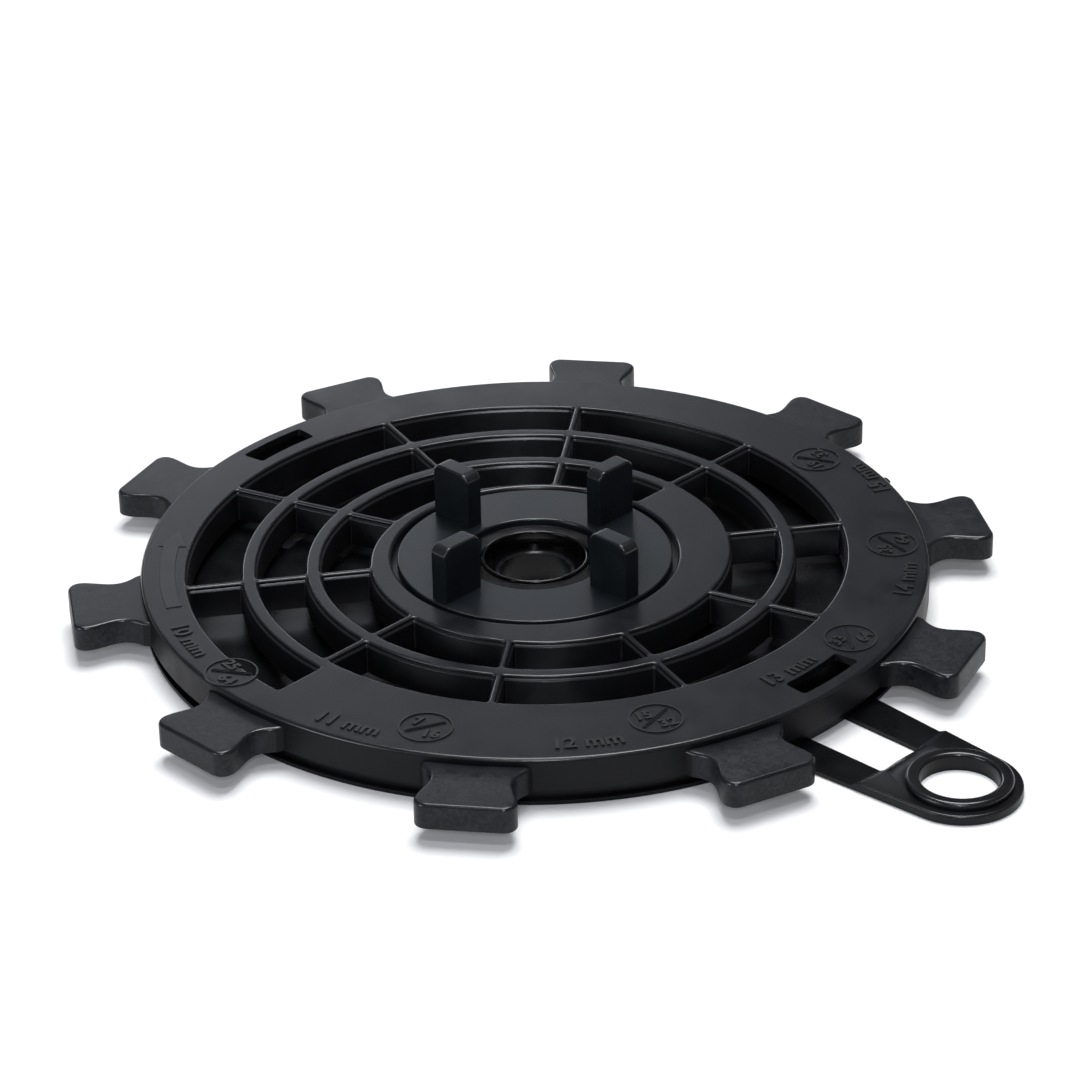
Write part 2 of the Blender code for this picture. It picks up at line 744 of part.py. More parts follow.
def base_outline():
    """The round plate and the lever in one outline, with the lever along +X."""
    root_distance, tangent = lever_sides()
    root_azimuth = math.degrees(math.atan2(LEVER_ROOT_HALF_WIDTH, root_distance))
    outline = [point(BASE_RADIUS, a) for a in steps_between(root_azimuth, 360.0 - root_azimuth, ROUND_STEP)]
    for angle in steps_between(-tangent, tangent, 10.0):
        x, y = point(LEVER_END_RADIUS, angle)
        outline.append((LEVER_EYE_DISTANCE + x, y))
    return outline


def lever_window():
    """The opening in the lever: straight sides, and an outer end that follows the eye's collar."""
    half = LEVER_WINDOW_HALF_WIDTH
    corner = LEVER_WINDOW_CORNER
    upper = []
    for i in range(4):
        turn = math.radians(180.0 - 30.0 * i)
        upper.append(
            (
                LEVER_WINDOW_START + corner + corner * math.cos(turn),
                half - corner + corner * math.sin(turn),
            )
        )
    reach = LEVER_END_RADIUS + LEVER_WINDOW_FROM_END
    for share in (1.0, 0.9, 0.6, 0.25):
        y = half * share
        x = LEVER_EYE_DISTANCE - math.sqrt(reach**2 - y**2)
        upper.append((x, y if share < 1.0 else half - 0.3 * corner))
    return upper + [(x, -y) for x, y in reversed(upper)]


def make_base(collection, cutters):
    """The base: plate, lever with its eye, stem and ramps, moulded in one piece."""
    thickness = LEVER_THICKNESS
    layers = (
        (0.0, 0.0),
        (thickness - LEVER_ROUNDING, 0.0),
        (thickness, LEVER_ROUNDING),
    )
    hole_layers = ((0.0, 0.0), (thickness, 0.0))
    eye_hole = [
        (LEVER_EYE_DISTANCE + x, y)
        for x, y in circle((EYE_RADIUS + EYE_COLLAR_RADIUS) / 2, 2 * HUB_STEP)
    ]
    base = plate(
        "base_with_lever",
        collection,
        turned_outline(base_outline(), LEVER_AZIMUTH),
        layers,
        [
            turned_outline(lever_window(), LEVER_AZIMUTH),
            turned_outline(eye_hole, LEVER_AZIMUTH),
            circle(STEM_BORE_RADIUS + STEM_WALL / 2, HUB_STEP),
        ],
        hole_layers,
    )
    teeth_clear = DISC_RADIUS + TOOTH_REACH + LEVER_CLEAR_OF_TEETH
    slope_end = teeth_clear + 2 * (thickness - BASE_THICKNESS)
    flattening = turned(
        "lowered_top",
        cutters,
        (
            (0.0, BASE_THICKNESS),
            (teeth_clear, BASE_THICKNESS),
            (slope_end, thickness + CUT_OVERSHOOT / 10),
            (slope_end, thickness + CUT_OVERSHOOT),
            (0.0, thickness + CUT_OVERSHOOT),
        ),
        ROUND_STEP,
    )
    combine(base, flattening, "DIFFERENCE")
    stem = turned(
        "stem",
        cutters,
        (
            (STEM_BORE_RADIUS, 0.0),
            (STEM_BORE_RADIUS, STEM_HEIGHT),
            (STEM_BORE_RADIUS + STEM_WALL, STEM_HEIGHT),
            (STEM_BORE_RADIUS + STEM_WALL, 0.0),
        ),
        HUB_STEP,
    )
    combine(base, stem, "UNION")
    eye_x, eye_y = point(LEVER_EYE_DISTANCE, LEVER_AZIMUTH)
    collar = turned(
        "eye_collar",
        cutters,
        (
            (EYE_RADIUS, 0.0),
            (EYE_RADIUS, EYE_COLLAR_HEIGHT - EYE_COLLAR_ROUNDING),
            (EYE_RADIUS + EYE_COLLAR_ROUNDING, EYE_COLLAR_HEIGHT),
            (EYE_COLLAR_RADIUS - EYE_COLLAR_ROUNDING, EYE_COLLAR_HEIGHT),
            (EYE_COLLAR_RADIUS, EYE_COLLAR_HEIGHT - EYE_COLLAR_ROUNDING),
            (EYE_COLLAR_RADIUS, 0.0),
        ),
        2 * HUB_STEP,
        (eye_x, eye_y),
    )
    combine(base, collar, "UNION")
    mesh = bmesh.new()
    for i in range(RAMP_COUNT):
        inner, outer = ramp_radii(i)
        azimuth = foot_azimuth(i)
        descent_angle = DESCENT / LIFT_PER_TOOTH * PITCH_ANGLE
        ascent_angle = ASCENT / LIFT_PER_TOOTH * PITCH_ANGLE
        helical_wall(
            mesh,
            inner,
            outer,
            azimuth - ascent_angle - FOOT_SPAN / 2,
            azimuth + descent_angle + FOOT_SPAN / 2,
            lambda at: BASE_THICKNESS / 2,
            lambda at, centre=azimuth: RAMP_LOWEST + DESCENT + rest_lift(at, centre),
        )
    combine(base, finished("ramps", mesh, cutters), "UNION")
    return base


def plastic(name, colour, roughness):
    """A black moulded plastic."""
    material = bpy.data.materials.new(name)
    material.use_nodes = True
    shader = material.node_tree.nodes["Principled BSDF"]
    shader.inputs["Base Color"].default_value = (*colour, 1.0)
    shader.inputs["Roughness"].default_value = roughness
    shader.inputs["Metallic"].default_value = 0.0
    return material


def main():
    for old in list(bpy.data.objects):
        bpy.data.objects.remove(old, do_unlink=True)
    parts = bpy.data.collections.new("decking_pedestal")
    cutters = bpy.data.collections.new("cutters")
    bpy.context.scene.collection.children.link(parts)
    bpy.context.scene.collection.children.link(cutters)
    axis = bpy.data.objects.new("turning_axis", None)
    parts.objects.link(axis)
    made = (
        (make_base(parts, cutters), plastic("black polypropylene, base", (0.012, 0.012, 0.013), 0.4)),
        (make_bush(parts), plastic("black acetal, bush", (0.008, 0.008, 0.009), 0.2)),
        (make_head(parts, cutters), plastic("black polypropylene, head", (0.014, 0.014, 0.016), 0.45)),
        (make_insert(parts, cutters), plastic("black polypropylene, insert", (0.016, 0.017, 0.019), 0.4)),
    )
    for part, material in made:
        part.data.materials.append(material)
        part.parent = axis
        part.data.shade_smooth()
        part.data.set_sharp_from_angle(angle=math.radians(30.0))


main()
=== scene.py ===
# %% [markdown]
# # A low decking pedestal in black moulded plastic
# The real object is a toothed disc with a spiral grille. It turns on a base with a lever, and a loose
# ring with four tabs sits in its middle. This lesson rebuilds its surfaces finer than the plain model
# does: rounded edges, marks that stand up from the plate, and the grain and scuffs of moulded plastic.

# %% Load the frame
import math

import bmesh
import bpy
from mathutils import Matrix, Vector


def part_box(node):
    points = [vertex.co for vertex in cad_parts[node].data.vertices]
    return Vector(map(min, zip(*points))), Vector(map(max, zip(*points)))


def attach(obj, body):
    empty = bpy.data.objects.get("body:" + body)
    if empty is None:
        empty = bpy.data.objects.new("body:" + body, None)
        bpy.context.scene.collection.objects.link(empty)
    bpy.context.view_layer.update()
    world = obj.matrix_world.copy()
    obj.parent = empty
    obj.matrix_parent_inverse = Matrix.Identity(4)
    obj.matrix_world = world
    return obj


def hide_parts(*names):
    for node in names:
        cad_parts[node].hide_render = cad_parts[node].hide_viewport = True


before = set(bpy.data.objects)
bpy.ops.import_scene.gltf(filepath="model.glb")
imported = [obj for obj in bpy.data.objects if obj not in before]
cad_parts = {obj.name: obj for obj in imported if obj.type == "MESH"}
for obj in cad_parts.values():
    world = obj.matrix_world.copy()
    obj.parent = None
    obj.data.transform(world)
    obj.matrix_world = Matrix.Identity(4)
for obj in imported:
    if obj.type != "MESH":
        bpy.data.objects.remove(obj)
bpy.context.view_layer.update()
scene = bpy.context.scene
MM = 0.001
print("frame nodes:", ", ".join(sorted(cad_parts)))

# %% [markdown]
# ## Sizes
# The frame gives the places of the real parts: the top and bottom of the disc, and the height of each
# piece. What it can't give, such as the width of the spiral, is written here once, as a real size. What
# fits round another piece is worked out from that piece and a gap.

# %% Heights from the frame
head_low, head_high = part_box("head")
insert_low, insert_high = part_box("spacer_insert")
_, bush_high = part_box("centre_bush")
_, base_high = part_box("base_with_lever")
HEAD_TOP = head_high.z
HEAD_BOTTOM = head_low.z
print("head from", round(HEAD_BOTTOM / MM, 2), "to", round(HEAD_TOP / MM, 2), "mm")

# %% Sizes of the disc and the grille
RUNNING_GAP = 0.25 * MM
TOOTH_COUNT = 10
PITCH_ANGLE = 360.0 / TOOTH_COUNT
DISC_RADIUS = 100.0 * MM
RIM_ROUNDING = 1.1 * MM
PLATE_UNDERSIDE = HEAD_TOP - 2.0 * MM
MOULDED_WALL = 1.6 * MM
SKIRT_INNER_RADIUS = DISC_RADIUS - MOULDED_WALL
FIRST_RIB_AZIMUTH = 9.5
RIB_THICKNESS = 1.5 * MM

INSERT_RADIUS = 35.0 * MM
RECESS_RADIUS = INSERT_RADIUS + 1.45 * MM
RECESS_CHAMFER = 0.95 * MM
RECESS_FLOOR_TOP = HEAD_TOP - 2.6 * MM
RECESS_FLOOR_UNDERSIDE = RECESS_FLOOR_TOP - MOULDED_WALL
HUB_EDGE_RADIUS = RECESS_RADIUS + 1.5 * MM

GRILLE_START = 45.0
GRILLE_END = 946.9
GRILLE_TURNS = 2.5
CELL_COUNT = 25
FIRST_RIB_ANGLE = 45.5
FIRST_CELL_WIDTH = 10.43 * MM
RIM_WIDTH = 10.995 * MM
RING_WIDTH = 3.4 * MM
RING_INNER_START = HUB_EDGE_RADIUS + FIRST_CELL_WIDTH
RING_INNER_PITCH = (DISC_RADIUS - RIM_WIDTH - RING_INNER_START) / GRILLE_TURNS
RING_INNER_OPENING = 1.45 * MM
CELL_CORNER = 0.9 * MM
EDGE_ROUNDING = 0.5 * MM
LEDGE_DROP = 0.9 * MM
LEDGE_WIDTH = 0.5 * MM
print("the spiral moves out by", round(RING_INNER_PITCH / MM, 2), "mm in each turn")

# %% Sizes of the middle, from the stem outwards
STEM_BORE_RADIUS = 9.0 * MM
STEM_RADIUS = STEM_BORE_RADIUS + 1.2 * MM
GUIDE_RADIUS = STEM_RADIUS + RUNNING_GAP
BUSH_BORE_RADIUS = GUIDE_RADIUS + 2.35 * MM
BUSH_LIP_WIDTH = 1.0 * MM
BUSH_RADIUS = BUSH_BORE_RADIUS + BUSH_LIP_WIDTH
FLANGE_RADIUS = bush_high.x
FLANGE_TOP = HEAD_BOTTOM + 1.4 * MM
BORE_RADIUS = BUSH_RADIUS + RUNNING_GAP
SPIGOT_RADIUS = BORE_RADIUS + 4.05 * MM
SPIGOT_TOP = RECESS_FLOOR_TOP + 1.2 * MM
INSERT_HOLE_RADIUS = SPIGOT_RADIUS + 2 * RUNNING_GAP
print("hole of the insert:", round(2 * INSERT_HOLE_RADIUS / MM, 2), "mm across")

# %% [markdown]
# ## Outlines
# Seen from above, every edge of the moulding is part of a circle, part of the spiral or a straight
# flank of a rib. So the outlines are worked out from angles and radii. A rounded edge is then a stack
# of the same outline, moved in a little more at each height, which gives even rounding.

# %% Points, arcs and the spiral
ARC_STEP = 1.8


def point(radius, azimuth):
    """The point at this radius and azimuth in degrees, counter-clockwise from +X."""
    angle = math.radians(azimuth)
    return (radius * math.cos(angle), radius * math.sin(angle))


def steps_between(start, end, step):
    """Values from start to end, both included, at equal steps of about this size."""
    count = max(1, math.ceil(abs(end - start) / step - 1e-6))
    return [start + (end - start) * i / count for i in range(count + 1)]


def circle(radius, step):
    """A closed outline of the whole circle."""
    return [point(radius, azimuth) for azimuth in steps_between(0.0, 360.0, step)[:-1]]


def arc(x, y, radius, start, end, step):
    """Points on an arc round (x, y), from one azimuth to another."""
    offsets = [point(radius, azimuth) for azimuth in steps_between(start, end, step)]
    return [(x + along, y + across) for along, across in offsets]


def ring_inner(angle):
    """Radius of the spiral's inner edge. The last turn opens a little more to run out at the rim."""
    turns = (angle - GRILLE_START - 360.0) / 360.0
    last_turn = max(0.0, (angle - GRILLE_END) / 360.0)
    return RING_INNER_START + RING_INNER_PITCH * turns + RING_INNER_OPENING * last_turn


def ring_outer(angle):
    """Radius of the spiral's outer edge, and of the hub plate's edge on the first turn."""
    return max(ring_inner(angle) + RING_WIDTH, HUB_EDGE_RADIUS)


print("the spiral ends", round(ring_inner(GRILLE_END) / MM, 2), "mm from the axis")


# %% Outlines turned and moved in
def turned_outline(outline, azimuth):
    """The outline turned about the axis to this azimuth."""
    cosine = math.cos(math.radians(azimuth))
    sine = math.sin(math.radians(azimuth))
    return [(x * cosine - y * sine, x * sine + y * cosine) for x, y in outline]


def moved_in(outline, distance):
    """The outline with each side moved inwards by this distance, or outwards where it is negative."""
    count = len(outline)
    area = sum(
        outline[i - 1][0] * outline[i][1] - outline[i][0] * outline[i - 1][1] for i in range(count)
    )
    sign = 1.0 if area > 0.0 else -1.0
    moved = []
    for i in range(count):
        before, here, after = outline[i - 1], outline[i], outline[(i + 1) % count]
        first = math.atan2(here[1] - before[1], here[0] - before[0])
        second = math.atan2(after[1] - here[1], after[0] - here[0])
        normal_x = -math.sin(first) - math.sin(second)
        normal_y = math.cos(first) + math.cos(second)
        scale = 2.0 * sign * distance / (normal_x * normal_x + normal_y * normal_y)
        moved.append((here[0] + scale * normal_x, here[1] + scale * normal_y))
    return moved


# %% Cells and pockets between ribs
CORNER_STEPS = 4


def corner_arc(radius, azimuth, offset, outwards, around, size):
    """The rounded corner where a rib's flank meets a ring's edge, from the flank to the edge."""
    flank = point(radius, azimuth + math.degrees(math.asin(offset / radius)))
    radial = point(1.0, azimuth)
    tangent = (-radial[1], radial[0])
    arc = []
    for i in range(CORNER_STEPS + 1):
        turn = math.radians(90.0) * i / CORNER_STEPS
        along_radial = -outwards * size * (1.0 - math.sin(turn))
        along_tangent = around * size * (1.0 - math.cos(turn))
        x, y = [flank[k] + along_radial * radial[k] + along_tangent * tangent[k] for k in (0, 1)]
        arc.append((x, y))
    return arc


def sector_outline(start, end, start_offset, end_offset, inner_at, outer_at, step=ARC_STEP):
    """A cell or pocket between two flanks and two edges, whose radii are functions of the angle."""
    corner = CELL_CORNER
    inner = []
    outer = []
    for angle in steps_between(start, end, step)[1:-1]:
        for edge, radius_at in ((inner, inner_at), (outer, outer_at)):
            radius = radius_at(angle)
            taken = math.degrees((corner + start_offset) / radius) + 0.1 * step
            left = math.degrees((corner + end_offset) / radius) + 0.1 * step
            if start + taken < angle < end - left:
                edge.append(point(radius, angle))
    inner_first = corner_arc(inner_at(start), start, start_offset, -1, 1, corner)
    inner_last = corner_arc(inner_at(end), end, -end_offset, -1, -1, corner)
    outer_last = corner_arc(outer_at(end), end, -end_offset, 1, -1, corner)
    outer_first = corner_arc(outer_at(start), start, start_offset, 1, 1, corner)
    return inner_first + inner + inner_last[::-1] + outer_last + outer[::-1] + outer_first[::-1]


# %% [markdown]
# ## From outlines to closed meshes
# Three builders are enough. A plate is an outline with holes, each with its own stack of heights and
# insets. A turned piece is a profile spun round the axis. A cut or a join is a Boolean that is applied
# at once, so that no helper stays in the scene.

# %% Walls and plates
def rounded_top(top, radius, steps=4):
    """Layers (height, inset) of a quarter-round edge that ends at this height."""
    turns = [math.radians(90.0) * i / steps for i in range(steps + 1)]
    return [(top - radius * (1.0 - math.sin(turn)), radius * (1.0 - math.cos(turn))) for turn in turns]


def rounded_edge(radius, side, top, rounding, steps=4):
    """Profile points of a rounded edge, on a piece that lies outwards (1) or inwards (-1) of it."""
    return [(radius + side * inset, height) for height, inset in rounded_top(top, rounding, steps)]


def loop_edges(mesh, outline, height):
    """The outline as vertices at this height, and the edges that close it."""
    verts = [mesh.verts.new((x, y, height)) for x, y in outline]
    edges = [mesh.edges.new((verts[i - 1], verts[i])) for i in range(len(verts))]
    return verts, edges


def stacked_walls(mesh, outline, layers):
    """Walls through an outline's layers (height, inset). Returns the first and last loops' edges."""
    loops = [loop_edges(mesh, moved_in(outline, inset), height) for height, inset in layers]
    for (lower, _), (upper, _) in zip(loops, loops[1:]):
        for i in range(len(lower)):
            mesh.faces.new((lower[i - 1], lower[i], upper[i], upper[i - 1]))
    return loops[0][1], loops[-1][1]


def finished(name, mesh):
    """The bmesh as an object in the scene, with its faces turned outwards."""
    bmesh.ops.remove_doubles(mesh, verts=mesh.verts, dist=1e-7)
    bmesh.ops.recalc_face_normals(mesh, faces=mesh.faces)
    data = bpy.data.meshes.new(name)
    mesh.to_mesh(data)
    mesh.free()
    made = bpy.data.objects.new(name, data)
    scene.collection.objects.link(made)
    return made


def plate(name, outline, layers, holes=(), hole_layers=()):
    """A moulded plate: an outline and its holes, each with its own layers, closed top and bottom."""
    mesh = bmesh.new()
    bottom, top = stacked_walls(mesh, outline, layers)
    for hole in holes:
        hole_bottom, hole_top = stacked_walls(mesh, hole, hole_layers)
        bottom = bottom + hole_bottom
        top = top + hole_top
    for edges in (bottom, top):
        bmesh.ops.triangle_fill(mesh, edges=edges, use_beauty=True)
    return finished(name, mesh)


def prisms(name, outlines, low, high):
    """Straight prisms of the outlines, as one object."""
    mesh = bmesh.new()
    for outline in outlines:
        for edges in stacked_walls(mesh, outline, ((low, 0.0), (high, 0.0))):
            bmesh.ops.triangle_fill(mesh, edges=edges, use_beauty=True)
    return finished(name, mesh)


# %% Turned pieces, cuts and joins
def turned(name, profile, step=ARC_STEP, centre=(0.0, 0.0)):
    """The closed profile of (radius, height) points, turned round the vertical axis at this centre."""
    mesh = bmesh.new()
    verts = [mesh.verts.new((radius, 0.0, height)) for radius, height in profile]
    on_axis = [radius == 0.0 for radius, _ in profile]
    edges = [
        mesh.edges.new((verts[i - 1], verts[i]))
        for i in range(len(verts))
        if not (on_axis[i - 1] and on_axis[i])
    ]
    bmesh.ops.spin(
        mesh, geom=verts + edges, axis=(0.0, 0.0, 1.0), cent=(0.0, 0.0, 0.0), angle=math.tau,
        steps=round(360.0 / step), use_merge=True, use_normal_flip=False, use_duplicate=False,
    )
    bmesh.ops.remove_doubles(mesh, verts=mesh.verts, dist=1e-7)
    bmesh.ops.translate(mesh, verts=mesh.verts, vec=(centre[0], centre[1], 0.0))
    return finished(name, mesh)


def applied(piece, helpers):
    """Applies the piece's modifiers and removes the helpers."""
    graph = bpy.context.evaluated_depsgraph_get()
    mesh = bpy.data.meshes.new_from_object(piece.evaluated_get(graph))
    piece.modifiers.clear()
    piece.data = mesh
    for helper in helpers:
        bpy.data.objects.remove(helper, do_unlink=True)
    return piece


def combined(piece, steps):
    """Cuts and joins, in order, applied at once."""
    for operation, helper in steps:
        modifier = piece.modifiers.new(helper.name, "BOOLEAN")
        modifier.operation = operation
        modifier.solver = "EXACT"
        modifier.object = helper
    return applied(piece, [helper for _, helper in steps])


def smooth(piece, sharp_angle=32.0):
    """Shades the piece smooth, with its flat faces kept flat by weighted normals."""
    piece.data.shade_smooth()
    piece.data.set_sharp_from_angle(angle=math.radians(sharp_angle))
    weighted = piece.modifiers.new("flat faces stay flat", "WEIGHTED_NORMAL")
    weighted.keep_sharp = True
    weighted.weight = 100
    applied(piece, [])
    print(piece.name + ":", len(piece.data.polygons), "faces")
    return piece


# %% [markdown]
# ## The grille
# The head is one moulding, and its grille is what catches the eye. The cells are holes in a plate, so
# their top edges can be rounded with the plate. A small slope runs round every cell a millimetre down,
# where the two halves of the mould meet.

# %% Grille cells
def rib_angles(index):
    """The spiral angles of the two ribs that a cell or pocket lies between."""
    return FIRST_RIB_ANGLE + index * PITCH_ANGLE, FIRST_RIB_ANGLE + (index + 1) * PITCH_ANGLE


def next_turn(angle):
    """Radius of the spiral's inner edge one turn further out."""
    return ring_inner(angle + 360.0)


def grille_cells():
    """The openings between the spiral and the radial ribs."""
    cells = []
    for i in range(CELL_COUNT):
        start, end = rib_angles(i)
        from_start = from_end = RIB_THICKNESS / 2
        if i == 0:
            start, from_start = GRILLE_START, 0.0
        if i == CELL_COUNT - 1:
            end, from_end = GRILLE_END, 0.0
        cells.append(sector_outline(start, end, from_start, from_end, ring_outer, next_turn))
    return cells


def cell_layers():
    """The wall of a cell from the bottom up: slope, short upright lip, rounded edge."""
    shoulder = HEAD_TOP - LEDGE_DROP
    lip = [(height, -inset) for height, inset in rounded_top(HEAD_TOP, EDGE_ROUNDING, 3)]
    return [
        (HEAD_BOTTOM, LEDGE_WIDTH),
        (shoulder - LEDGE_WIDTH - 0.1 * MM, LEDGE_WIDTH),
        (shoulder - LEDGE_WIDTH + 0.05 * MM, LEDGE_WIDTH - 0.06 * MM),
        (shoulder, 0.0),
    ] + lip


# %% [markdown]
# ## The teeth
# A hand turns the head by its teeth. Each is a hollow box that is open below, with a narrow neck and a
# broad end. All ten are copies of one outline, turned round the axis.

# %% Teeth
TOOTH_TOP = HEAD_TOP - 2.0 * MM
TOOTH_REACH = 18.0 * MM
TOOTH_HALF_WIDTH = 12.0 * MM
TOOTH_NECK_HALF_WIDTH = 9.8 * MM
TOOTH_ROOT_HALF_WIDTH = 13.4 * MM
TOOTH_NECK_DISTANCE = 6.0 * MM
TOOTH_CORNER = 3.2 * MM
TOOTH_ROUNDING = 1.0 * MM
TOOTH_WALL = 2.0 * MM
TOOTH_OVERLAP = 0.2 * MM
TOOTH_SIDE_STEPS = 16


def tooth_half_width(distance):
    """Half of a tooth's width at this distance outside the disc."""
    if distance < TOOTH_NECK_DISTANCE:
        share = (TOOTH_NECK_DISTANCE - distance) / TOOTH_NECK_DISTANCE
        return TOOTH_NECK_HALF_WIDTH + (TOOTH_ROOT_HALF_WIDTH - TOOTH_NECK_HALF_WIDTH) * share**2
    share = (distance - TOOTH_NECK_DISTANCE) / (TOOTH_REACH - TOOTH_CORNER - TOOTH_NECK_DISTANCE)
    eased = share * share * (3.0 - 2.0 * share)
    return TOOTH_NECK_HALF_WIDTH + (TOOTH_HALF_WIDTH - TOOTH_NECK_HALF_WIDTH) * eased


def tooth_outline():
    """A tooth along +X: flared root, narrow neck and a broad end with round corners."""
    corner_start = TOOTH_REACH - TOOTH_CORNER
    upper = [(SKIRT_INNER_RADIUS + TOOTH_OVERLAP, tooth_half_width(0.0))]
    for i in range(1, TOOTH_SIDE_STEPS):
        distance = corner_start * i / TOOTH_SIDE_STEPS
        upper.append((DISC_RADIUS + distance, tooth_half_width(distance)))
    corner_side = TOOTH_HALF_WIDTH - TOOTH_CORNER
    upper += arc(DISC_RADIUS + corner_start, corner_side, TOOTH_CORNER, 90.0, 0.0, 15.0)
    return upper + [(x, -y) for x, y in reversed(upper)]


def make_teeth():
    """Hollow teeth, open at the bottom, with rounded top edges."""
    mesh = bmesh.new()
    layers = [(HEAD_BOTTOM, 0.0)] + rounded_top(TOOTH_TOP, TOOTH_ROUNDING)
    hollow = ((HEAD_BOTTOM, TOOTH_WALL), (TOOTH_TOP - TOOTH_WALL, TOOTH_WALL))
    for i in range(TOOTH_COUNT):
        outline = turned_outline(tooth_outline(), FIRST_RIB_AZIMUTH + i * PITCH_ANGLE)
        outer_bottom, outer_top = stacked_walls(mesh, outline, layers)
        inner_bottom, inner_roof = stacked_walls(mesh, outline, hollow)
        for edges in (outer_bottom + inner_bottom, outer_top, inner_roof):
            bmesh.ops.triangle_fill(mesh, edges=edges, use_beauty=True)
    return finished("teeth", mesh)


# %% [markdown]
# ## The underside
# A moulding has even walls, so the head is hollow from below. A channel under the rim takes three
# ramps that lie side by side, and the head stands on each with one foot. Feet and ramps are the same
# helical wall, once in the head and once in the base, so they always fit.

# %% Pockets between the ribs
RAMP_COUNT = 3
RAMP_WALL = 1.7 * MM
RAMP_GAP = 0.3 * MM
RAMP_OUTER_RADIUS = SKIRT_INNER_RADIUS - 0.5 * MM
RAMP_INNER_RADIUS = RAMP_OUTER_RADIUS - RAMP_COUNT * (RAMP_WALL + RAMP_GAP) + RAMP_GAP
CHANNEL_INNER_RADIUS = RAMP_INNER_RADIUS - RAMP_GAP
RIM_POCKET_COUNT = 8
FIRST_HUB_POCKET = 5
POCKET_END_WALL = 2 * MOULDED_WALL


def rim_pockets():
    """Pockets between the last turn of the spiral, the ramp channel and the radial ribs."""
    pockets = []
    for i in range(RIM_POCKET_COUNT):
        start, end = rib_angles(CELL_COUNT + i)
        from_start = RIB_THICKNESS / 2
        if i == 0:
            start, from_start = GRILLE_END, POCKET_END_WALL
        pockets.append(
            sector_outline(
                start, end, from_start, RIB_THICKNESS / 2,
                lambda angle: ring_inner(angle) + MOULDED_WALL, lambda angle: RAMP_INNER_RADIUS,
            )
        )
    return pockets


def hub_pockets():
    """Pockets between the recess's wall and the first turn of the spiral."""
    return [
        sector_outline(
            *rib_angles(i), RIB_THICKNESS / 2,
            POCKET_END_WALL if i == TOOTH_COUNT - 1 else RIB_THICKNESS / 2,
            lambda angle: HUB_EDGE_RADIUS, lambda angle: ring_outer(angle) - MOULDED_WALL,
        )
        for i in range(FIRST_HUB_POCKET, TOOTH_COUNT)
    ]


# %% Feet and ramps share one helical wall
LIFT_PER_DEGREE = 1.0 * MM / PITCH_ANGLE
BASE_THICKNESS = 1.2 * MM
RAMP_AT_REST = 5.0 * MM
FOOT_SPAN = 12.0
FIRST_FOOT_AZIMUTH = 60.0


def helical_walls(name, span_before, span_after, low_at, high_at):
    """One curved wall for each ramp, with bottom and top as functions of azimuth and centre."""
    mesh = bmesh.new()
    for i in range(RAMP_COUNT):
        inner = RAMP_INNER_RADIUS + i * (RAMP_WALL + RAMP_GAP)
        outer = inner + RAMP_WALL
        centre = FIRST_FOOT_AZIMUTH + i * 360.0 / RAMP_COUNT
        rows = []
        for azimuth in steps_between(centre - span_before, centre + span_after, ARC_STEP):
            low = low_at(azimuth, centre)
            high = high_at(azimuth, centre)
            corners = ((inner, low), (outer, low), (outer, high), (inner, high))
            rows.append([mesh.verts.new((*point(radius, azimuth), z)) for radius, z in corners])
        for before, after in zip(rows, rows[1:]):
            for k in range(4):
                mesh.faces.new((before[k - 1], before[k], after[k], after[k - 1]))
        mesh.faces.new(rows[0])
        mesh.faces.new(rows[-1])
    return finished(name, mesh)


# %% [markdown]
# ## The head
# The head is the plate with its cells, less what is hollow or open, plus its feet and teeth. The
# cutters are simple turned or straight bodies, because such cuts leave clean faces.

# %% Cutters of the head
CUT_OVERSHOOT = 2.0 * MM
BELOW = -CUT_OVERSHOOT
ABOVE = HEAD_TOP + CUT_OVERSHOOT
BOSS_RADIUS = BORE_RADIUS + 2.3 * MM
SLOT_OUTER_RADIUS = DISC_RADIUS - 3.5 * MM
SLOT_INNER_RADIUS = SLOT_OUTER_RADIUS - 6.5 * MM
SLOT_HALF_SPAN = 6.15
SLOT_AZIMUTHS = (137.1, 317.1)


def recess_cutter():
    """What the recess, the bore and the flange's room take away round the axis."""
    flange_room = FLANGE_RADIUS + 2 * RUNNING_GAP
    boss_bottom = FLANGE_TOP + RUNNING_GAP
    edge = rounded_edge(RECESS_RADIUS, 1, HEAD_TOP, RECESS_CHAMFER)
    profile = [
        (0.0, BELOW),
        (flange_room, BELOW),
        (flange_room, boss_bottom),
        (BORE_RADIUS, boss_bottom),
        (BORE_RADIUS, SPIGOT_TOP),
        (SPIGOT_RADIUS, SPIGOT_TOP),
        (SPIGOT_RADIUS, RECESS_FLOOR_TOP),
        (RECESS_RADIUS, RECESS_FLOOR_TOP),
    ]
    return turned("recess", profile + edge + [(RECESS_RADIUS + RECESS_CHAMFER, ABOVE), (0.0, ABOVE)])


def channel_cutter():
    """The channel under the rim that takes the ramps."""
    profile = (
        (CHANNEL_INNER_RADIUS, BELOW),
        (CHANNEL_INNER_RADIUS, PLATE_UNDERSIDE),
        (SKIRT_INNER_RADIUS, PLATE_UNDERSIDE),
        (SKIRT_INNER_RADIUS, BELOW),
    )
    return turned("channel", profile)


def floor_pockets():
    """Pockets under the recess's floor, between the boss and the recess's wall."""
    return [
        sector_outline(
            FIRST_RIB_AZIMUTH + i * PITCH_ANGLE, FIRST_RIB_AZIMUTH + (i + 1) * PITCH_ANGLE,
            RIB_THICKNESS / 2, RIB_THICKNESS / 2,
            lambda angle: BOSS_RADIUS, lambda angle: RECESS_RADIUS - MOULDED_WALL, 3 * ARC_STEP,
        )
        for i in range(TOOTH_COUNT)
    ]


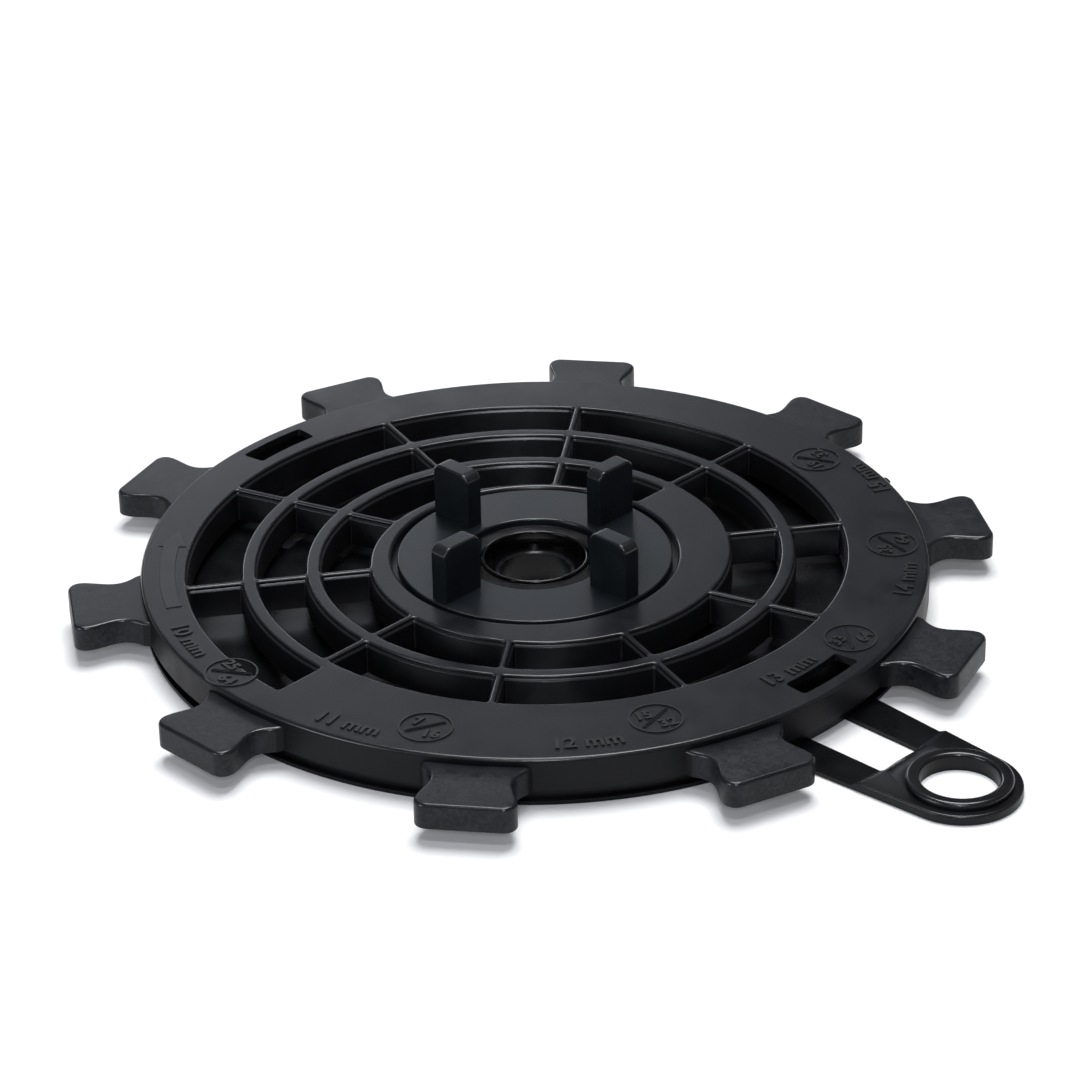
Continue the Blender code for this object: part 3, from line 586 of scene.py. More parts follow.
def slots():
    """The two slots through the rim."""
    return [
        sector_outline(
            azimuth - SLOT_HALF_SPAN, azimuth + SLOT_HALF_SPAN, 0.0, 0.0,
            lambda angle: SLOT_INNER_RADIUS, lambda angle: SLOT_OUTER_RADIUS,
        )
        for azimuth in SLOT_AZIMUTHS
    ]


# %% Make the head
FOOT_OVERLAP = 1.0 * MM


def make_feet():
    """A foot over each ramp, whose underside has the ramp's slope."""
    return helical_walls(
        "feet",
        FOOT_SPAN / 2,
        FOOT_SPAN / 2,
        lambda azimuth, centre: RAMP_AT_REST + RUNNING_GAP + (centre - azimuth) * LIFT_PER_DEGREE,
        lambda azimuth, centre: PLATE_UNDERSIDE + FOOT_OVERLAP,
    )


def make_head():
    """The toothed head: disc, grille, skirt, recess, teeth and feet, moulded in one piece."""
    rim = [(HEAD_BOTTOM, 0.0)] + rounded_top(HEAD_TOP, RIM_ROUNDING)
    disc = plate("head_moulding", circle(DISC_RADIUS, ARC_STEP), rim, grille_cells(), cell_layers())
    steps = [
        ("DIFFERENCE", channel_cutter()),
        ("DIFFERENCE", prisms("pockets", rim_pockets() + hub_pockets(), BELOW, PLATE_UNDERSIDE)),
        ("DIFFERENCE", prisms("floor_pockets", floor_pockets(), BELOW, RECESS_FLOOR_UNDERSIDE)),
        ("DIFFERENCE", recess_cutter()),
        ("UNION", make_feet()),
        ("DIFFERENCE", prisms("slots", slots(), BELOW, ABOVE)),
        ("UNION", make_teeth()),
    ]
    return combined(disc, steps)


head = smooth(make_head())

# %% [markdown]
# ## The spacer insert
# The insert is a flat ring with four tabs that keep the joint between deck tiles. A tab is a profile
# seen from its side, with two round upper corners and softened long edges.

# %% Make the insert
INSERT_FACE = HEAD_TOP - 0.2 * MM
INSERT_EDGE = 0.4 * MM
INSERT_HOLE_EDGE = 0.6 * MM
TAB_COUNT = 4
FIRST_TAB_AZIMUTH = 45.0
TAB_INNER_RADIUS = INSERT_HOLE_RADIUS + 2.9 * MM
TAB_OUTER_RADIUS = INSERT_RADIUS - 1.0 * MM
TAB_THICKNESS = 5.0 * MM
TAB_CORNER = 2.5 * MM
TAB_SOFTENED = 0.55 * MM
TAB_ROOT = 1.0 * MM


def make_tab(azimuth):
    """One upright tab at this azimuth."""
    root = INSERT_FACE - TAB_ROOT
    side = [(TAB_INNER_RADIUS, root), (TAB_OUTER_RADIUS, root)]
    corner_height = insert_high.z - TAB_CORNER
    side += arc(TAB_OUTER_RADIUS - TAB_CORNER, corner_height, TAB_CORNER, 0.0, 90.0, 11.25)
    side += arc(TAB_INNER_RADIUS + TAB_CORNER, corner_height, TAB_CORNER, 90.0, 180.0, 11.25)
    far_side = rounded_top(TAB_THICKNESS / 2, TAB_SOFTENED)
    near_side = [(-height, inset) for height, inset in reversed(far_side)]
    tab = plate("tab", side, near_side + far_side)
    cosine, sine = point(1.0, azimuth)
    for vertex in tab.data.vertices:
        along, height, across = vertex.co
        vertex.co = (along * cosine + across * sine, along * sine - across * cosine, height)
    return tab


def make_insert():
    """The ring with its four tabs."""
    underside = insert_low.z
    outside = [(INSERT_RADIUS, underside)] + rounded_edge(INSERT_RADIUS, -1, INSERT_FACE, INSERT_EDGE)
    hole_edge = rounded_edge(INSERT_HOLE_RADIUS, 1, INSERT_FACE, INSERT_HOLE_EDGE)
    inside = hole_edge[::-1] + [(INSERT_HOLE_RADIUS, underside)]
    ring = turned("insert_moulding", outside + inside)
    tabs = [make_tab(FIRST_TAB_AZIMUTH + i * 360.0 / TAB_COUNT) for i in range(TAB_COUNT)]
    return combined(ring, [("UNION", tab) for tab in tabs])


insert = smooth(make_insert())

# %% [markdown]
# ## The centre bush
# The bush is turned in one go. Its thin lip is fully rounded, because that lip catches the only bright
# line in the dark middle of the part.

# %% Make the bush
GUIDE_TOP = HEAD_BOTTOM + 3.15 * MM


def make_bush():
    """A sleeve with a rounded lip, a guide for the stem and a flange that carries the head."""
    half = BUSH_LIP_WIDTH / 2
    lip = arc(BUSH_RADIUS - half, bush_high.z - half, half, 0.0, 180.0, 22.5)
    flange = [
        (GUIDE_RADIUS, HEAD_BOTTOM),
        (FLANGE_RADIUS, HEAD_BOTTOM),
        (FLANGE_RADIUS, FLANGE_TOP),
        (BUSH_RADIUS, FLANGE_TOP),
    ]
    guide = [(BUSH_BORE_RADIUS, GUIDE_TOP), (GUIDE_RADIUS, GUIDE_TOP)]
    return turned("bush_sleeve", flange + lip + guide)


bush = smooth(make_bush())

# %% [markdown]
# ## The base and its lever
# The lever is part of the base. It is thin where the head's teeth pass over it, and rises to its full
# thickness before the eye. The eye has a raised collar with a well rounded top. Plate and lever share
# one outline, so no seam shows where they meet.

# %% Sizes of the base
LEVER_AZIMUTH = 315.3
LEVER_ROOT_HALF_WIDTH = 18.0 * MM
LEVER_THICKNESS = 2.6 * MM
LEVER_EDGE = 0.6 * MM
EYE_RADIUS = 9.45 * MM
EYE_COLLAR_RADIUS = EYE_RADIUS + 3.35 * MM
EYE_COLLAR_HEIGHT = 4.5 * MM
EYE_COLLAR_ROUNDING = 1.0 * MM
EYE_STEP = 5.0
LEVER_END_RADIUS = EYE_COLLAR_RADIUS + 2.2 * MM
LEVER_EYE_DISTANCE = DISC_RADIUS + TOOTH_REACH + 6.9 * MM + EYE_COLLAR_RADIUS
TEETH_CLEAR = DISC_RADIUS + TOOTH_REACH + 1.7 * MM
BASE_RADIUS = DISC_RADIUS - 0.6 * MM
BASE_EDGE = 0.25 * MM
WINDOW_START = BASE_RADIUS - 3.9 * MM
WINDOW_HALF_WIDTH = 7.0 * MM
WINDOW_CORNER = 2.0 * MM
WINDOW_FROM_END = 3.0 * MM
WINDOW_EDGE = 0.3 * MM
print("the eye lies", round(LEVER_EYE_DISTANCE / MM, 1), "mm from the axis")


# %% Outlines of the base
def base_outline():
    """The round plate and the lever in one outline, with the lever along +X."""
    root_distance = math.sqrt(BASE_RADIUS**2 - LEVER_ROOT_HALF_WIDTH**2)
    run = LEVER_EYE_DISTANCE - root_distance
    gap = math.hypot(run, LEVER_ROOT_HALF_WIDTH)
    tangent = math.degrees(math.atan2(LEVER_ROOT_HALF_WIDTH, -run) - math.acos(LEVER_END_RADIUS / gap))
    root_azimuth = math.degrees(math.atan2(LEVER_ROOT_HALF_WIDTH, root_distance))
    round_plate = arc(0.0, 0.0, BASE_RADIUS, root_azimuth, 360.0 - root_azimuth, ARC_STEP)
    return round_plate + arc(LEVER_EYE_DISTANCE, 0.0, LEVER_END_RADIUS, -tangent, tangent, EYE_STEP)


def lever_window():
    """The opening in the lever: straight sides, and an outer end that follows the eye's collar."""
    reach = LEVER_END_RADIUS + WINDOW_FROM_END
    corner_side = WINDOW_HALF_WIDTH - WINDOW_CORNER
    upper = arc(WINDOW_START + WINDOW_CORNER, corner_side, WINDOW_CORNER, 180.0, 90.0, 15.0)
    for share in (0.98, 0.93, 0.85, 0.7, 0.5, 0.3, 0.1):
        y = WINDOW_HALF_WIDTH * share
        corner_rounding = 0.6 * MM * share**8
        upper.append((LEVER_EYE_DISTANCE - math.sqrt(reach**2 - y**2) - corner_rounding, y))
    return upper + [(x, -y) for x, y in reversed(upper)]


# %% Stem, collar and the thin stretch of the lever
def lowered_middle():
    """What is taken away inside the teeth's reach, with a slope up to the lever's full thickness."""
    slope_end = TEETH_CLEAR + 2 * (LEVER_THICKNESS - BASE_THICKNESS)
    above = LEVER_THICKNESS + CUT_OVERSHOOT
    profile = (
        (0.0, BASE_THICKNESS),
        (TEETH_CLEAR, BASE_THICKNESS),
        (slope_end, LEVER_THICKNESS + 0.2 * MM),
        (slope_end, above),
        (0.0, above),
    )
    return turned("lowered", profile)


def stem():
    """The hollow stem that guides the bush, with a sloped mouth."""
    top = base_high.z
    profile = (
        (STEM_BORE_RADIUS, 0.0),
        (STEM_BORE_RADIUS, top - 0.4 * MM),
        (STEM_BORE_RADIUS + 0.4 * MM, top),
        (STEM_RADIUS - 0.2 * MM, top),
        (STEM_RADIUS, top - 0.2 * MM),
        (STEM_RADIUS, 0.0),
    )
    return turned("stem", profile)


def eye_collar():
    """The raised ring round the lever's eye."""
    inside = rounded_edge(EYE_RADIUS, 1, EYE_COLLAR_HEIGHT, EYE_COLLAR_ROUNDING, 6)
    outside = rounded_edge(EYE_COLLAR_RADIUS, -1, EYE_COLLAR_HEIGHT, EYE_COLLAR_ROUNDING, 6)
    profile = [(EYE_RADIUS, 0.0)] + inside + outside[::-1] + [(EYE_COLLAR_RADIUS, 0.0)]
    return turned("collar", profile, EYE_STEP, point(LEVER_EYE_DISTANCE, LEVER_AZIMUTH))


# %% Make the base
def make_base():
    """Plate, lever with its eye, stem and ramps, moulded in one piece."""
    layers = [(0.0, BASE_EDGE), (BASE_EDGE, 0.0)] + rounded_top(LEVER_THICKNESS, LEVER_EDGE)
    window_edge = [(height, -inset) for height, inset in rounded_top(LEVER_THICKNESS, WINDOW_EDGE)]
    under_collar = circle((EYE_RADIUS + EYE_COLLAR_RADIUS) / 2, EYE_STEP)
    eye_hole = [(LEVER_EYE_DISTANCE + x, y) for x, y in under_collar]
    holes = [
        turned_outline(lever_window(), LEVER_AZIMUTH),
        turned_outline(eye_hole, LEVER_AZIMUTH),
        circle((STEM_BORE_RADIUS + STEM_RADIUS) / 2, EYE_STEP),
    ]
    outline = turned_outline(base_outline(), LEVER_AZIMUTH)
    moulding = plate("base_moulding", outline, layers, holes, [(0.0, 0.0)] + window_edge)
    ramps = helical_walls(
        "ramps",
        2 * PITCH_ANGLE + FOOT_SPAN / 2,
        3 * PITCH_ANGLE + FOOT_SPAN / 2,
        lambda azimuth, centre: BASE_THICKNESS / 2,
        lambda azimuth, centre: RAMP_AT_REST + (centre - azimuth) * LIFT_PER_DEGREE,
    )
    steps = [("DIFFERENCE", lowered_middle()), ("UNION", stem())]
    return combined(moulding, steps + [("UNION", eye_collar()), ("UNION", ramps)])


base = smooth(make_base())

# %% [markdown]
# ## The marks
# The head carries its heights in millimetres, each with the same height in inches in a ring. Real marks
# are cut into the mould, so they stand up from the part. Letters are made flat, then lifted a little
# and bent round the disc, so that their feet follow the rim.

# %% Lettering bent round the disc
MARK_HEIGHT = 0.32 * MM
MARK_SINK = 0.04 * MM
LETTER_HEIGHT = 4.6 * MM
LETTER_WEIGHT = 0.17 * MM
LETTER_SHARE_OF_SIZE = 0.73
LONGEST_EDGE = 1.5 * MM


def lettering(words, height):
    """Flat lettering with a small thickness, centred on the origin, as a bmesh."""
    curve = bpy.data.curves.new("letters", "FONT")
    curve.body = words
    curve.size = height / LETTER_SHARE_OF_SIZE
    curve.extrude = MARK_HEIGHT / 2
    curve.align_x = "CENTER"
    curve.resolution_u = 3
    curve.offset = LETTER_WEIGHT
    holder = bpy.data.objects.new("letters", curve)
    scene.collection.objects.link(holder)
    graph = bpy.context.evaluated_depsgraph_get()
    data = bpy.data.meshes.new_from_object(holder.evaluated_get(graph))
    mesh = bmesh.new()
    mesh.from_mesh(data)
    bpy.data.objects.remove(holder, do_unlink=True)
    return mesh


def bend_onto_disc(mesh, azimuth, foot_radius, into):
    """Wraps flat lettering round the axis, its feet at this radius, and adds it to another bmesh."""
    long_edges = [edge for edge in mesh.edges if edge.calc_length() > LONGEST_EDGE]
    bmesh.ops.subdivide_edges(mesh, edges=long_edges, cuts=2)
    for vertex in mesh.verts:
        along, up, _ = vertex.co
        lifted = vertex.co.z + HEAD_TOP + MARK_HEIGHT / 2 - MARK_SINK
        vertex.co = (*point(foot_radius - up, azimuth + math.degrees(along / foot_radius)), lifted)
    data = bpy.data.meshes.new("bent letters")
    mesh.to_mesh(data)
    mesh.free()
    into.from_mesh(data)


# %% Rings and slashes
FRACTION_HEIGHT = 3.3 * MM
RING_RADIUS = 6.6 * MM
RING_LINE = 0.45 * MM
SLASH_START = (-4.0 * MM, -3.0 * MM)
SLASH_END = (4.0 * MM, 3.2 * MM)
SLASH_HALF_WIDTH = 0.25 * MM


def raised_outline(mesh, outer, inner):
    """A raised band between two outlines of as many points."""
    low = HEAD_TOP - MARK_SINK
    high = HEAD_TOP + MARK_HEIGHT * 0.8
    lines = ((outer, low), (outer, high), (inner, high), (inner, low))
    corners = [[mesh.verts.new((x, y, z)) for x, y in line] for line, z in lines]
    for first, second in zip(corners, corners[1:] + corners[:1]):
        for i in range(len(first)):
            mesh.faces.new((first[i - 1], first[i], second[i], second[i - 1]))


def ring_outline(azimuth, radius, inset):
    """A round outline on the disc, this much inside the ring's own size."""
    centre_x, centre_y = point(radius, azimuth)
    ring = turned_outline(circle(RING_RADIUS - inset, 7.5), azimuth)
    return [(centre_x + x, centre_y + y) for x, y in ring]


def slash_outline(azimuth, radius):
    """The slash between the two numbers of a fraction, bent round the disc as they are."""
    wide = SLASH_HALF_WIDTH
    corners = (
        (SLASH_START[0] - wide, SLASH_START[1] + wide),
        (SLASH_START[0] + wide, SLASH_START[1] - wide),
        (SLASH_END[0] + wide, SLASH_END[1] - wide),
        (SLASH_END[0] - wide, SLASH_END[1] + wide),
    )
    return [point(radius - up, azimuth + math.degrees(along / radius)) for along, up in corners]


# %% Make the marks
# Each mark: millimetres, azimuth and foot radius of the words, inches, azimuth and radius of the ring.
MARKS = (
    ("10 mm", 206.0, 96.5, "25", "64", 218.0, 93.5),
    ("11 mm", 241.5, 96.0, "7", "16", 252.7, 88.7),
    ("12 mm", 277.0, 95.5, "15", "32", 288.5, 87.3),
    ("13 mm", 314.2, 88.5, "33", "64", 328.5, 89.5),
    ("14 mm", 349.0, 96.5, "35", "64", 0.5, 91.0),
    ("15 mm", 22.8, 98.0, "19", "32", 33.0, 89.5),
)
OVER_TURN = -1.7
UNDER_TURN = 1.3
OVER_FOOT = -0.5 * MM
UNDER_FOOT = 4.2 * MM
SLASH_TAPER = 0.12 * MM


def make_marks():
    """All the words, rings and fractions as one raised piece."""
    mesh = bmesh.new()
    for words, azimuth, foot, over, under, ring_azimuth, ring_mm in MARKS:
        radius = ring_mm * MM
        bend_onto_disc(lettering(words, LETTER_HEIGHT), azimuth, foot * MM, mesh)
        outer = ring_outline(ring_azimuth, radius, 0.0)
        raised_outline(mesh, outer, ring_outline(ring_azimuth, radius, RING_LINE))
        for number, turn, drop in ((over, OVER_TURN, OVER_FOOT), (under, UNDER_TURN, UNDER_FOOT)):
            letters = lettering(number, FRACTION_HEIGHT)
            bend_onto_disc(letters, ring_azimuth + turn, radius + drop, mesh)
        slash = slash_outline(ring_azimuth, radius)
        raised_outline(mesh, slash, moved_in(slash, SLASH_TAPER))
    return finished("height_marks", mesh)


marks = make_marks()
marks.data.shade_flat()
print("marks:", len(marks.data.polygons), "faces")

# %% [markdown]
# ## Arrow and nub
# A flat arrow shows which way to turn, and a small nub stands on the rim's wall. Both are plates
# again, an outline with a few layers, and both ride the head.

# %% Make the arrow
ARROW_TIP = (92.7 * MM, 170.0)
ARROW_HEAD_AZIMUTH = 175.8
ARROW_END_AZIMUTH = 195.5
ARROW_HEAD_RADII = (89.4 * MM, 96.4 * MM)
ARROW_SHAFT_RADII = (91.2 * MM, 95.2 * MM)


def make_arrow():
    """The flat arrow that shows which way to turn."""
    inner, outer = ARROW_SHAFT_RADII
    outline = [point(*ARROW_TIP), point(ARROW_HEAD_RADII[1], ARROW_HEAD_AZIMUTH)]
    outline += arc(0.0, 0.0, outer, ARROW_HEAD_AZIMUTH, ARROW_END_AZIMUTH, ARC_STEP)
    outline += arc(0.0, 0.0, inner, ARROW_END_AZIMUTH, ARROW_HEAD_AZIMUTH, ARC_STEP)
    outline.append(point(ARROW_HEAD_RADII[0], ARROW_HEAD_AZIMUTH))
    layers = (
        (HEAD_TOP - MARK_SINK, 0.0),
        (HEAD_TOP + 0.12 * MM, 0.0),
        (HEAD_TOP + 0.18 * MM, 0.06 * MM),
    )
    return plate("turning_arrow", outline, layers)


arrow = make_arrow()
print("arrow:", len(arrow.data.polygons), "faces")

# %% Make the nub
NUB_AZIMUTH = 22.5
NUB_HALF_WIDTH = 1.5 * MM
NUB_REACH = 1.3 * MM
NUB_HEIGHT = 3.0 * MM
NUB_CORNER_ALONG = 0.5 * MM
NUB_CORNER_ACROSS = 0.6 * MM


def make_nub():
    """The small nub on the rim's wall, with cut corners."""
    root = DISC_RADIUS - 0.5 * MM
    end = DISC_RADIUS + NUB_REACH
    corner = end - NUB_CORNER_ALONG
    tip_half_width = NUB_HALF_WIDTH - NUB_CORNER_ACROSS
    near = [(root, -NUB_HALF_WIDTH), (corner, -NUB_HALF_WIDTH), (end, -tip_half_width)]
    outline = near + [(x, -y) for x, y in reversed(near)]
    top = HEAD_TOP - RIM_ROUNDING
    layers = [(top - NUB_HEIGHT, 0.0)] + rounded_top(top, 0.3 * MM)
    return plate("rim_nub", turned_outline(outline, NUB_AZIMUTH), layers)


nub = make_nub()
print("nub:", len(nub.data.polygons), "faces")

# %% [markdown]
# ## Finishes
# All is black plastic, most of it polypropylene, but the surfaces differ. The head and the insert come
# from a spark-eroded mould, which leaves an even, fine grain. The bush is from a polished mould.
# Colours are written as on a screen, and one function turns them to the light the renderer counts in.

# %% Colour and node helpers
def linear(hex_colour):
    """An sRGB hex colour as linear red, green, blue and alpha."""
    channels = [int(hex_colour[i : i + 2], 16) / 255.0 for i in (1, 3, 5)]
    return (*[c / 12.92 if c <= 0.04045 else ((c + 0.055) / 1.055) ** 2.4 for c in channels], 1.0)


def connect(tree, node, links=None, values=None):
    """Links a node's inputs to sources and sets the values of others."""
    for name, value in (values or {}).items():
        node.inputs[name].default_value = value
    for name, source in (links or {}).items():
        tree.links.new(source, node.inputs[name])


def add_node(tree, kind, settings=None, links=None, values=None):
    """Adds a node, sets its properties and socket values, and links its inputs."""
    made = tree.nodes.new(kind)
    for name, value in (settings or {}).items():
        setattr(made, name, value)
    connect(tree, made, links, values)
    return made


def new_material(name):
    """A material with its node tree and its shader."""
    material = bpy.data.materials.new(name)
    material.use_nodes = True
    return material, material.node_tree, material.node_tree.nodes["Principled BSDF"]


# %% [markdown]
# ## Moulded polypropylene
# Three patterns make the surface. Soft blotches vary colour and gloss, as flow in the mould does. A
# fine bump is the grain of the spark-eroded steel. Scuffs turn the teeth paler and rougher. The noise
# uses the piece's own coordinates, so it rides with it.

# %% Scuffs on the teeth
SCUFF_SIZE = 2.2 * MM
SCUFFS_FROM = DISC_RADIUS + 1.0 * MM
SCUFFS_FULL = DISC_RADIUS + 4.0 * MM


def with_scuffs(tree, place, colour, rough, scuffs):
    """Pale, rougher scuffs outside the disc, where the teeth are gripped and stacked."""
    apart = add_node(tree, "ShaderNodeSeparateXYZ", links={"Vector": place}).outputs
    flat = add_node(
        tree, "ShaderNodeCombineXYZ", links={"X": apart["X"], "Y": apart["Y"]}
    ).outputs["Vector"]
    radius = add_node(tree, "ShaderNodeVectorMath", {"operation": "LENGTH"}, {0: flat}).outputs["Value"]
    on_teeth = add_node(
        tree, "ShaderNodeMapRange", links={"Value": radius},
        values={"From Min": SCUFFS_FROM, "From Max": SCUFFS_FULL},
    ).outputs["Result"]
    worn = add_node(
        tree, "ShaderNodeTexNoise", links={"Vector": place},
        values={"Scale": 1.0 / SCUFF_SIZE, "Detail": 6.0, "Roughness": 0.7, "Distortion": 1.5},
    ).outputs["Fac"]
    marks_only = add_node(
        tree, "ShaderNodeMapRange", links={"Value": worn},
        values={"From Min": 0.42, "From Max": 0.78},
    ).outputs["Result"]
    amount = add_node(
        tree, "ShaderNodeMath", {"operation": "MULTIPLY"}, {0: marks_only, 1: on_teeth}
    ).outputs["Value"]
    paler = add_node(
        tree, "ShaderNodeMix", {"data_type": "RGBA"}, {"Factor": amount, "A": colour},
        {"B": linear(scuffs)},
    ).outputs["Result"]
    rougher = add_node(
        tree, "ShaderNodeMath", {"operation": "MULTIPLY_ADD"}, {0: amount, 2: rough}, {1: 0.15}
    ).outputs["Value"]
    return paler, rougher


# %% Blotches and grain
POLYPROPYLENE_IOR = 1.49
BLOTCH_SIZE = 9.0 * MM
# Real grain is about 0.1 mm. That is too fine to show in the picture, so it is drawn coarser.
GRAIN_SIZE = 0.45 * MM
GRAIN_DEPTH = 0.05 * MM


def moulded_polypropylene(name, body, paler, roughness, grain=0.5, scuffs=None, gloss=0.35):
    """Black moulded polypropylene: soft blotches, fine grain, and scuffs where a colour is given."""
    material, tree, shader = new_material(name)
    place = add_node(tree, "ShaderNodeTexCoord").outputs["Object"]
    blotches, fine = [
        add_node(
            tree, "ShaderNodeTexNoise", links={"Vector": place},
            values={"Scale": 1.0 / size, "Detail": detail, "Roughness": roughened},
        ).outputs["Fac"]
        for size, detail, roughened in ((BLOTCH_SIZE, 4.0, 0.6), (GRAIN_SIZE, 2.0, 0.5))
    ]
    spread = add_node(
        tree, "ShaderNodeMapRange", links={"Value": blotches},
        values={"From Min": 0.35, "From Max": 0.68},
    ).outputs["Result"]
    colour = add_node(
        tree, "ShaderNodeMix", {"data_type": "RGBA"}, {"Factor": spread},
        {"A": linear(body), "B": linear(paler)},
    ).outputs["Result"]
    rough = add_node(
        tree, "ShaderNodeMapRange", links={"Value": blotches},
        values={
            "From Min": 0.3, "From Max": 0.7, "To Min": roughness - 0.05, "To Max": roughness + 0.06
        },
    ).outputs["Result"]
    if scuffs:
        colour, rough = with_scuffs(tree, place, colour, rough, scuffs)
    bump = add_node(
        tree, "ShaderNodeBump", links={"Height": fine},
        values={"Strength": grain, "Distance": GRAIN_DEPTH},
    ).outputs["Normal"]
    connect(
        tree, shader, {"Base Color": colour, "Roughness": rough, "Normal": bump},
        {"IOR": POLYPROPYLENE_IOR, "Specular IOR Level": gloss},
    )
    return material


# %% The plastics of this part
# Fine grain spreads the light, so the tops look satin, and the scuffs turn the teeth a dusty grey.
head_plastic = moulded_polypropylene(
    "spark-eroded moulded polypropylene", "#111216", "#191b1e", 0.37, scuffs="#303337", gloss=0.21
)
# Rounded edges are rubbed smooth by handling and draw thin bright lines.
edge_plastic = moulded_polypropylene(
    "worn edges of moulded polypropylene", "#15161a", "#1c1d20", 0.22, grain=0.05, gloss=0.6
)
# The outer wall slid along the mould as it came out, which leaves it plain and dull.
outer_wall_plastic = moulded_polypropylene(
    "drawn outer wall in polypropylene", "#0e0f12", "#131417", 0.44, grain=0.08, gloss=0.16
)
# The cell walls come from milled steel and shine in streaks.
cell_wall_plastic = moulded_polypropylene(
    "milled mould walls in polypropylene", "#0e0f12", "#131417", 0.36, grain=0.05, gloss=0.5
)
# Polished steel gives the hub sharp small highlights. Its near-black colour is painted shade, for the
# deep middle seen through the insert's hole.
hub_plastic_painted_shade = moulded_polypropylene(
    "polished moulded polypropylene, hub, painted shade", "#060607", "#09090a", 0.14, grain=0.03
)
# The insert is satin like the head, from a slightly bluer batch.
insert_plastic = moulded_polypropylene(
    "spark-eroded moulded polypropylene, insert", "#14181c", "#1b2024", 0.37, gloss=0.22
)
# The base is a little glossier than the head. Its darker colour is painted shade, for the shade in the
# cells where the base shows through the grille.
base_plastic = moulded_polypropylene(
    "moulded polypropylene, base, painted darker as shade", "#0c0d0f", "#111214", 0.3, grain=0.12, gloss=0.22
)
# The bush is acetal, a slippery plastic, and looks wet and black. Its IOR is close to that above.
bush_plastic = moulded_polypropylene(
    "polished moulded acetal", "#060607", "#09090a", 0.13, grain=0.02
)
# The marks have no grain, so they stay flat and dark beside the satin plate.
mark_plastic = moulded_polypropylene(
    "smooth moulded polypropylene, marks", "#101113", "#151618", 0.45, grain=0.05
)
print("finishes:", len(bpy.data.materials))

# %% [markdown]
# ## Tool marks on the cell walls
# A milling cutter leaves level lines in the mould, and they print on the walls. Such lines draw a
# highlight out across them. Modelled lines would take too many faces, so the shader's anisotropy
# stretches the highlight instead, and a tangent round the axis says which way the lines run.

# %% Tool marks
def mill_across(material):
    """Tool marks run level round the walls, so a highlight there is drawn out upwards and downwards."""
    tree = material.node_tree
    shader = tree.nodes["Principled BSDF"]
    round_the_axis = add_node(
        tree, "ShaderNodeTangent", {"direction_type": "RADIAL", "axis": "Z"}
    ).outputs["Tangent"]
    stretched = {"Anisotropic": 0.9, "Anisotropic Rotation": 0.25}
    connect(tree, shader, {"Tangent": round_the_axis}, stretched)


mill_across(cell_wall_plastic)

# %% [markdown]
# ## Dress the pieces
# Each piece gets its plastic and rides the body of the real one. A moulding has more than one finish,
# so its faces choose theirs by their slope and place, with no seam in the mesh.

# %% Which face wears which finish
FLAT_ABOVE = 0.98
WALL_BELOW = 0.2


def finish_of_head(face):
    """0 on the tops, 1 on rounded edges, 2 on cell walls, 3 on the outer wall and 4 in the hub, whose
    near-black finish is painted shade.
    """
    radius = math.hypot(face.center.x, face.center.y)
    # Faces deep in the middle, inside the insert's hole, take the near-black finish as painted shade.
    if radius < INSERT_HOLE_RADIUS and face.center.z < HEAD_TOP - 1.0 * MM:
        return 4
    if WALL_BELOW < face.normal.z < FLAT_ABOVE:
        return 1
    if face.normal.z >= FLAT_ABOVE or radius > DISC_RADIUS + 1.0 * MM:
        return 0
    return 2 if radius < SKIRT_INNER_RADIUS else 3


def finish_by_slope(face):
    """0 on flat faces and walls, and 1 on rounded edges."""
    return 1 if WALL_BELOW < face.normal.z < FLAT_ABOVE else 0


def finish_faces(piece, more, finish_of):
    """Adds these materials to the piece and gives each face the one that suits it."""
    for material in more:
        piece.data.materials.append(material)
    for face in piece.data.polygons:
        face.material_index = finish_of(face)


# %% Dress the pieces and let them ride
for piece, material, body, node, finish in (
    (head, head_plastic, "head", "head", "head_plastic"),
    (insert, insert_plastic, "insert", "spacer_insert", "insert_plastic"),
    (bush, bush_plastic, "bush", "centre_bush", "bush_plastic"),
    (base, base_plastic, "base", "base_with_lever", "base_plastic"),
    (marks, mark_plastic, "head", None, "head_plastic"),
    (arrow, mark_plastic, "head", None, "head_plastic"),
    (nub, edge_plastic, "head", None, "head_plastic"),
):
    piece.data.materials.clear()
    piece.data.materials.append(material)
    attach(piece, body)
    if node:
        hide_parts(node)
    print(piece.name, "rides", body)

finish_faces(head, (edge_plastic, cell_wall_plastic, outer_wall_plastic, hub_plastic_painted_shade), finish_of_head)
finish_faces(insert, (edge_plastic,), finish_by_slope)
finish_faces(base, (edge_plastic,), finish_by_slope)

# %% [markdown]
# ## Floor
# The product stands on white. A paper sweep is matt, so the floor is a plain white sheet that keeps the
# soft shadow. A trace of light of its own, seen by the camera alone, keeps it white to the corners.

# %% Make the floor
FLOOR_REACH = 6.0
FLOOR_LIFT = 0.06


def make_floor():
    """A wide plain sheet under the part."""
    mesh = bmesh.new()
    bmesh.ops.create_grid(mesh, x_segments=1, y_segments=1, size=FLOOR_REACH)
    floor = finished("floor", mesh)
    material, tree, shader = new_material("white paper sweep")
    seen = add_node(tree, "ShaderNodeLightPath").outputs["Is Camera Ray"]
    lift = add_node(
        tree, "ShaderNodeMapRange", links={"Value": seen}, values={"To Min": 0.0, "To Max": FLOOR_LIFT}
    ).outputs["Result"]
    matt = {"Base Color": linear("#f8f8f8"), "Roughness": 0.9, "Specular IOR Level": 0.1}
    connect(tree, shader, {"Emission Strength": lift}, {**matt, "Emission Color": linear("#ffffff")})
    floor.data.materials.append(material)
    return floor


make_floor()
print("floor reaches", FLOOR_REACH, "m")

# %% [markdown]
# ## Light
# A large soft box overhead, a little behind the part, gives the even light and the short shadows
# towards the camera. Narrower boxes draw the bright lines along the rounded edges. The room looks
# white to the camera but lights the part only faintly, so that the plastic stays black.

# %% World and lamps
ROOM_LIGHT = 0.12

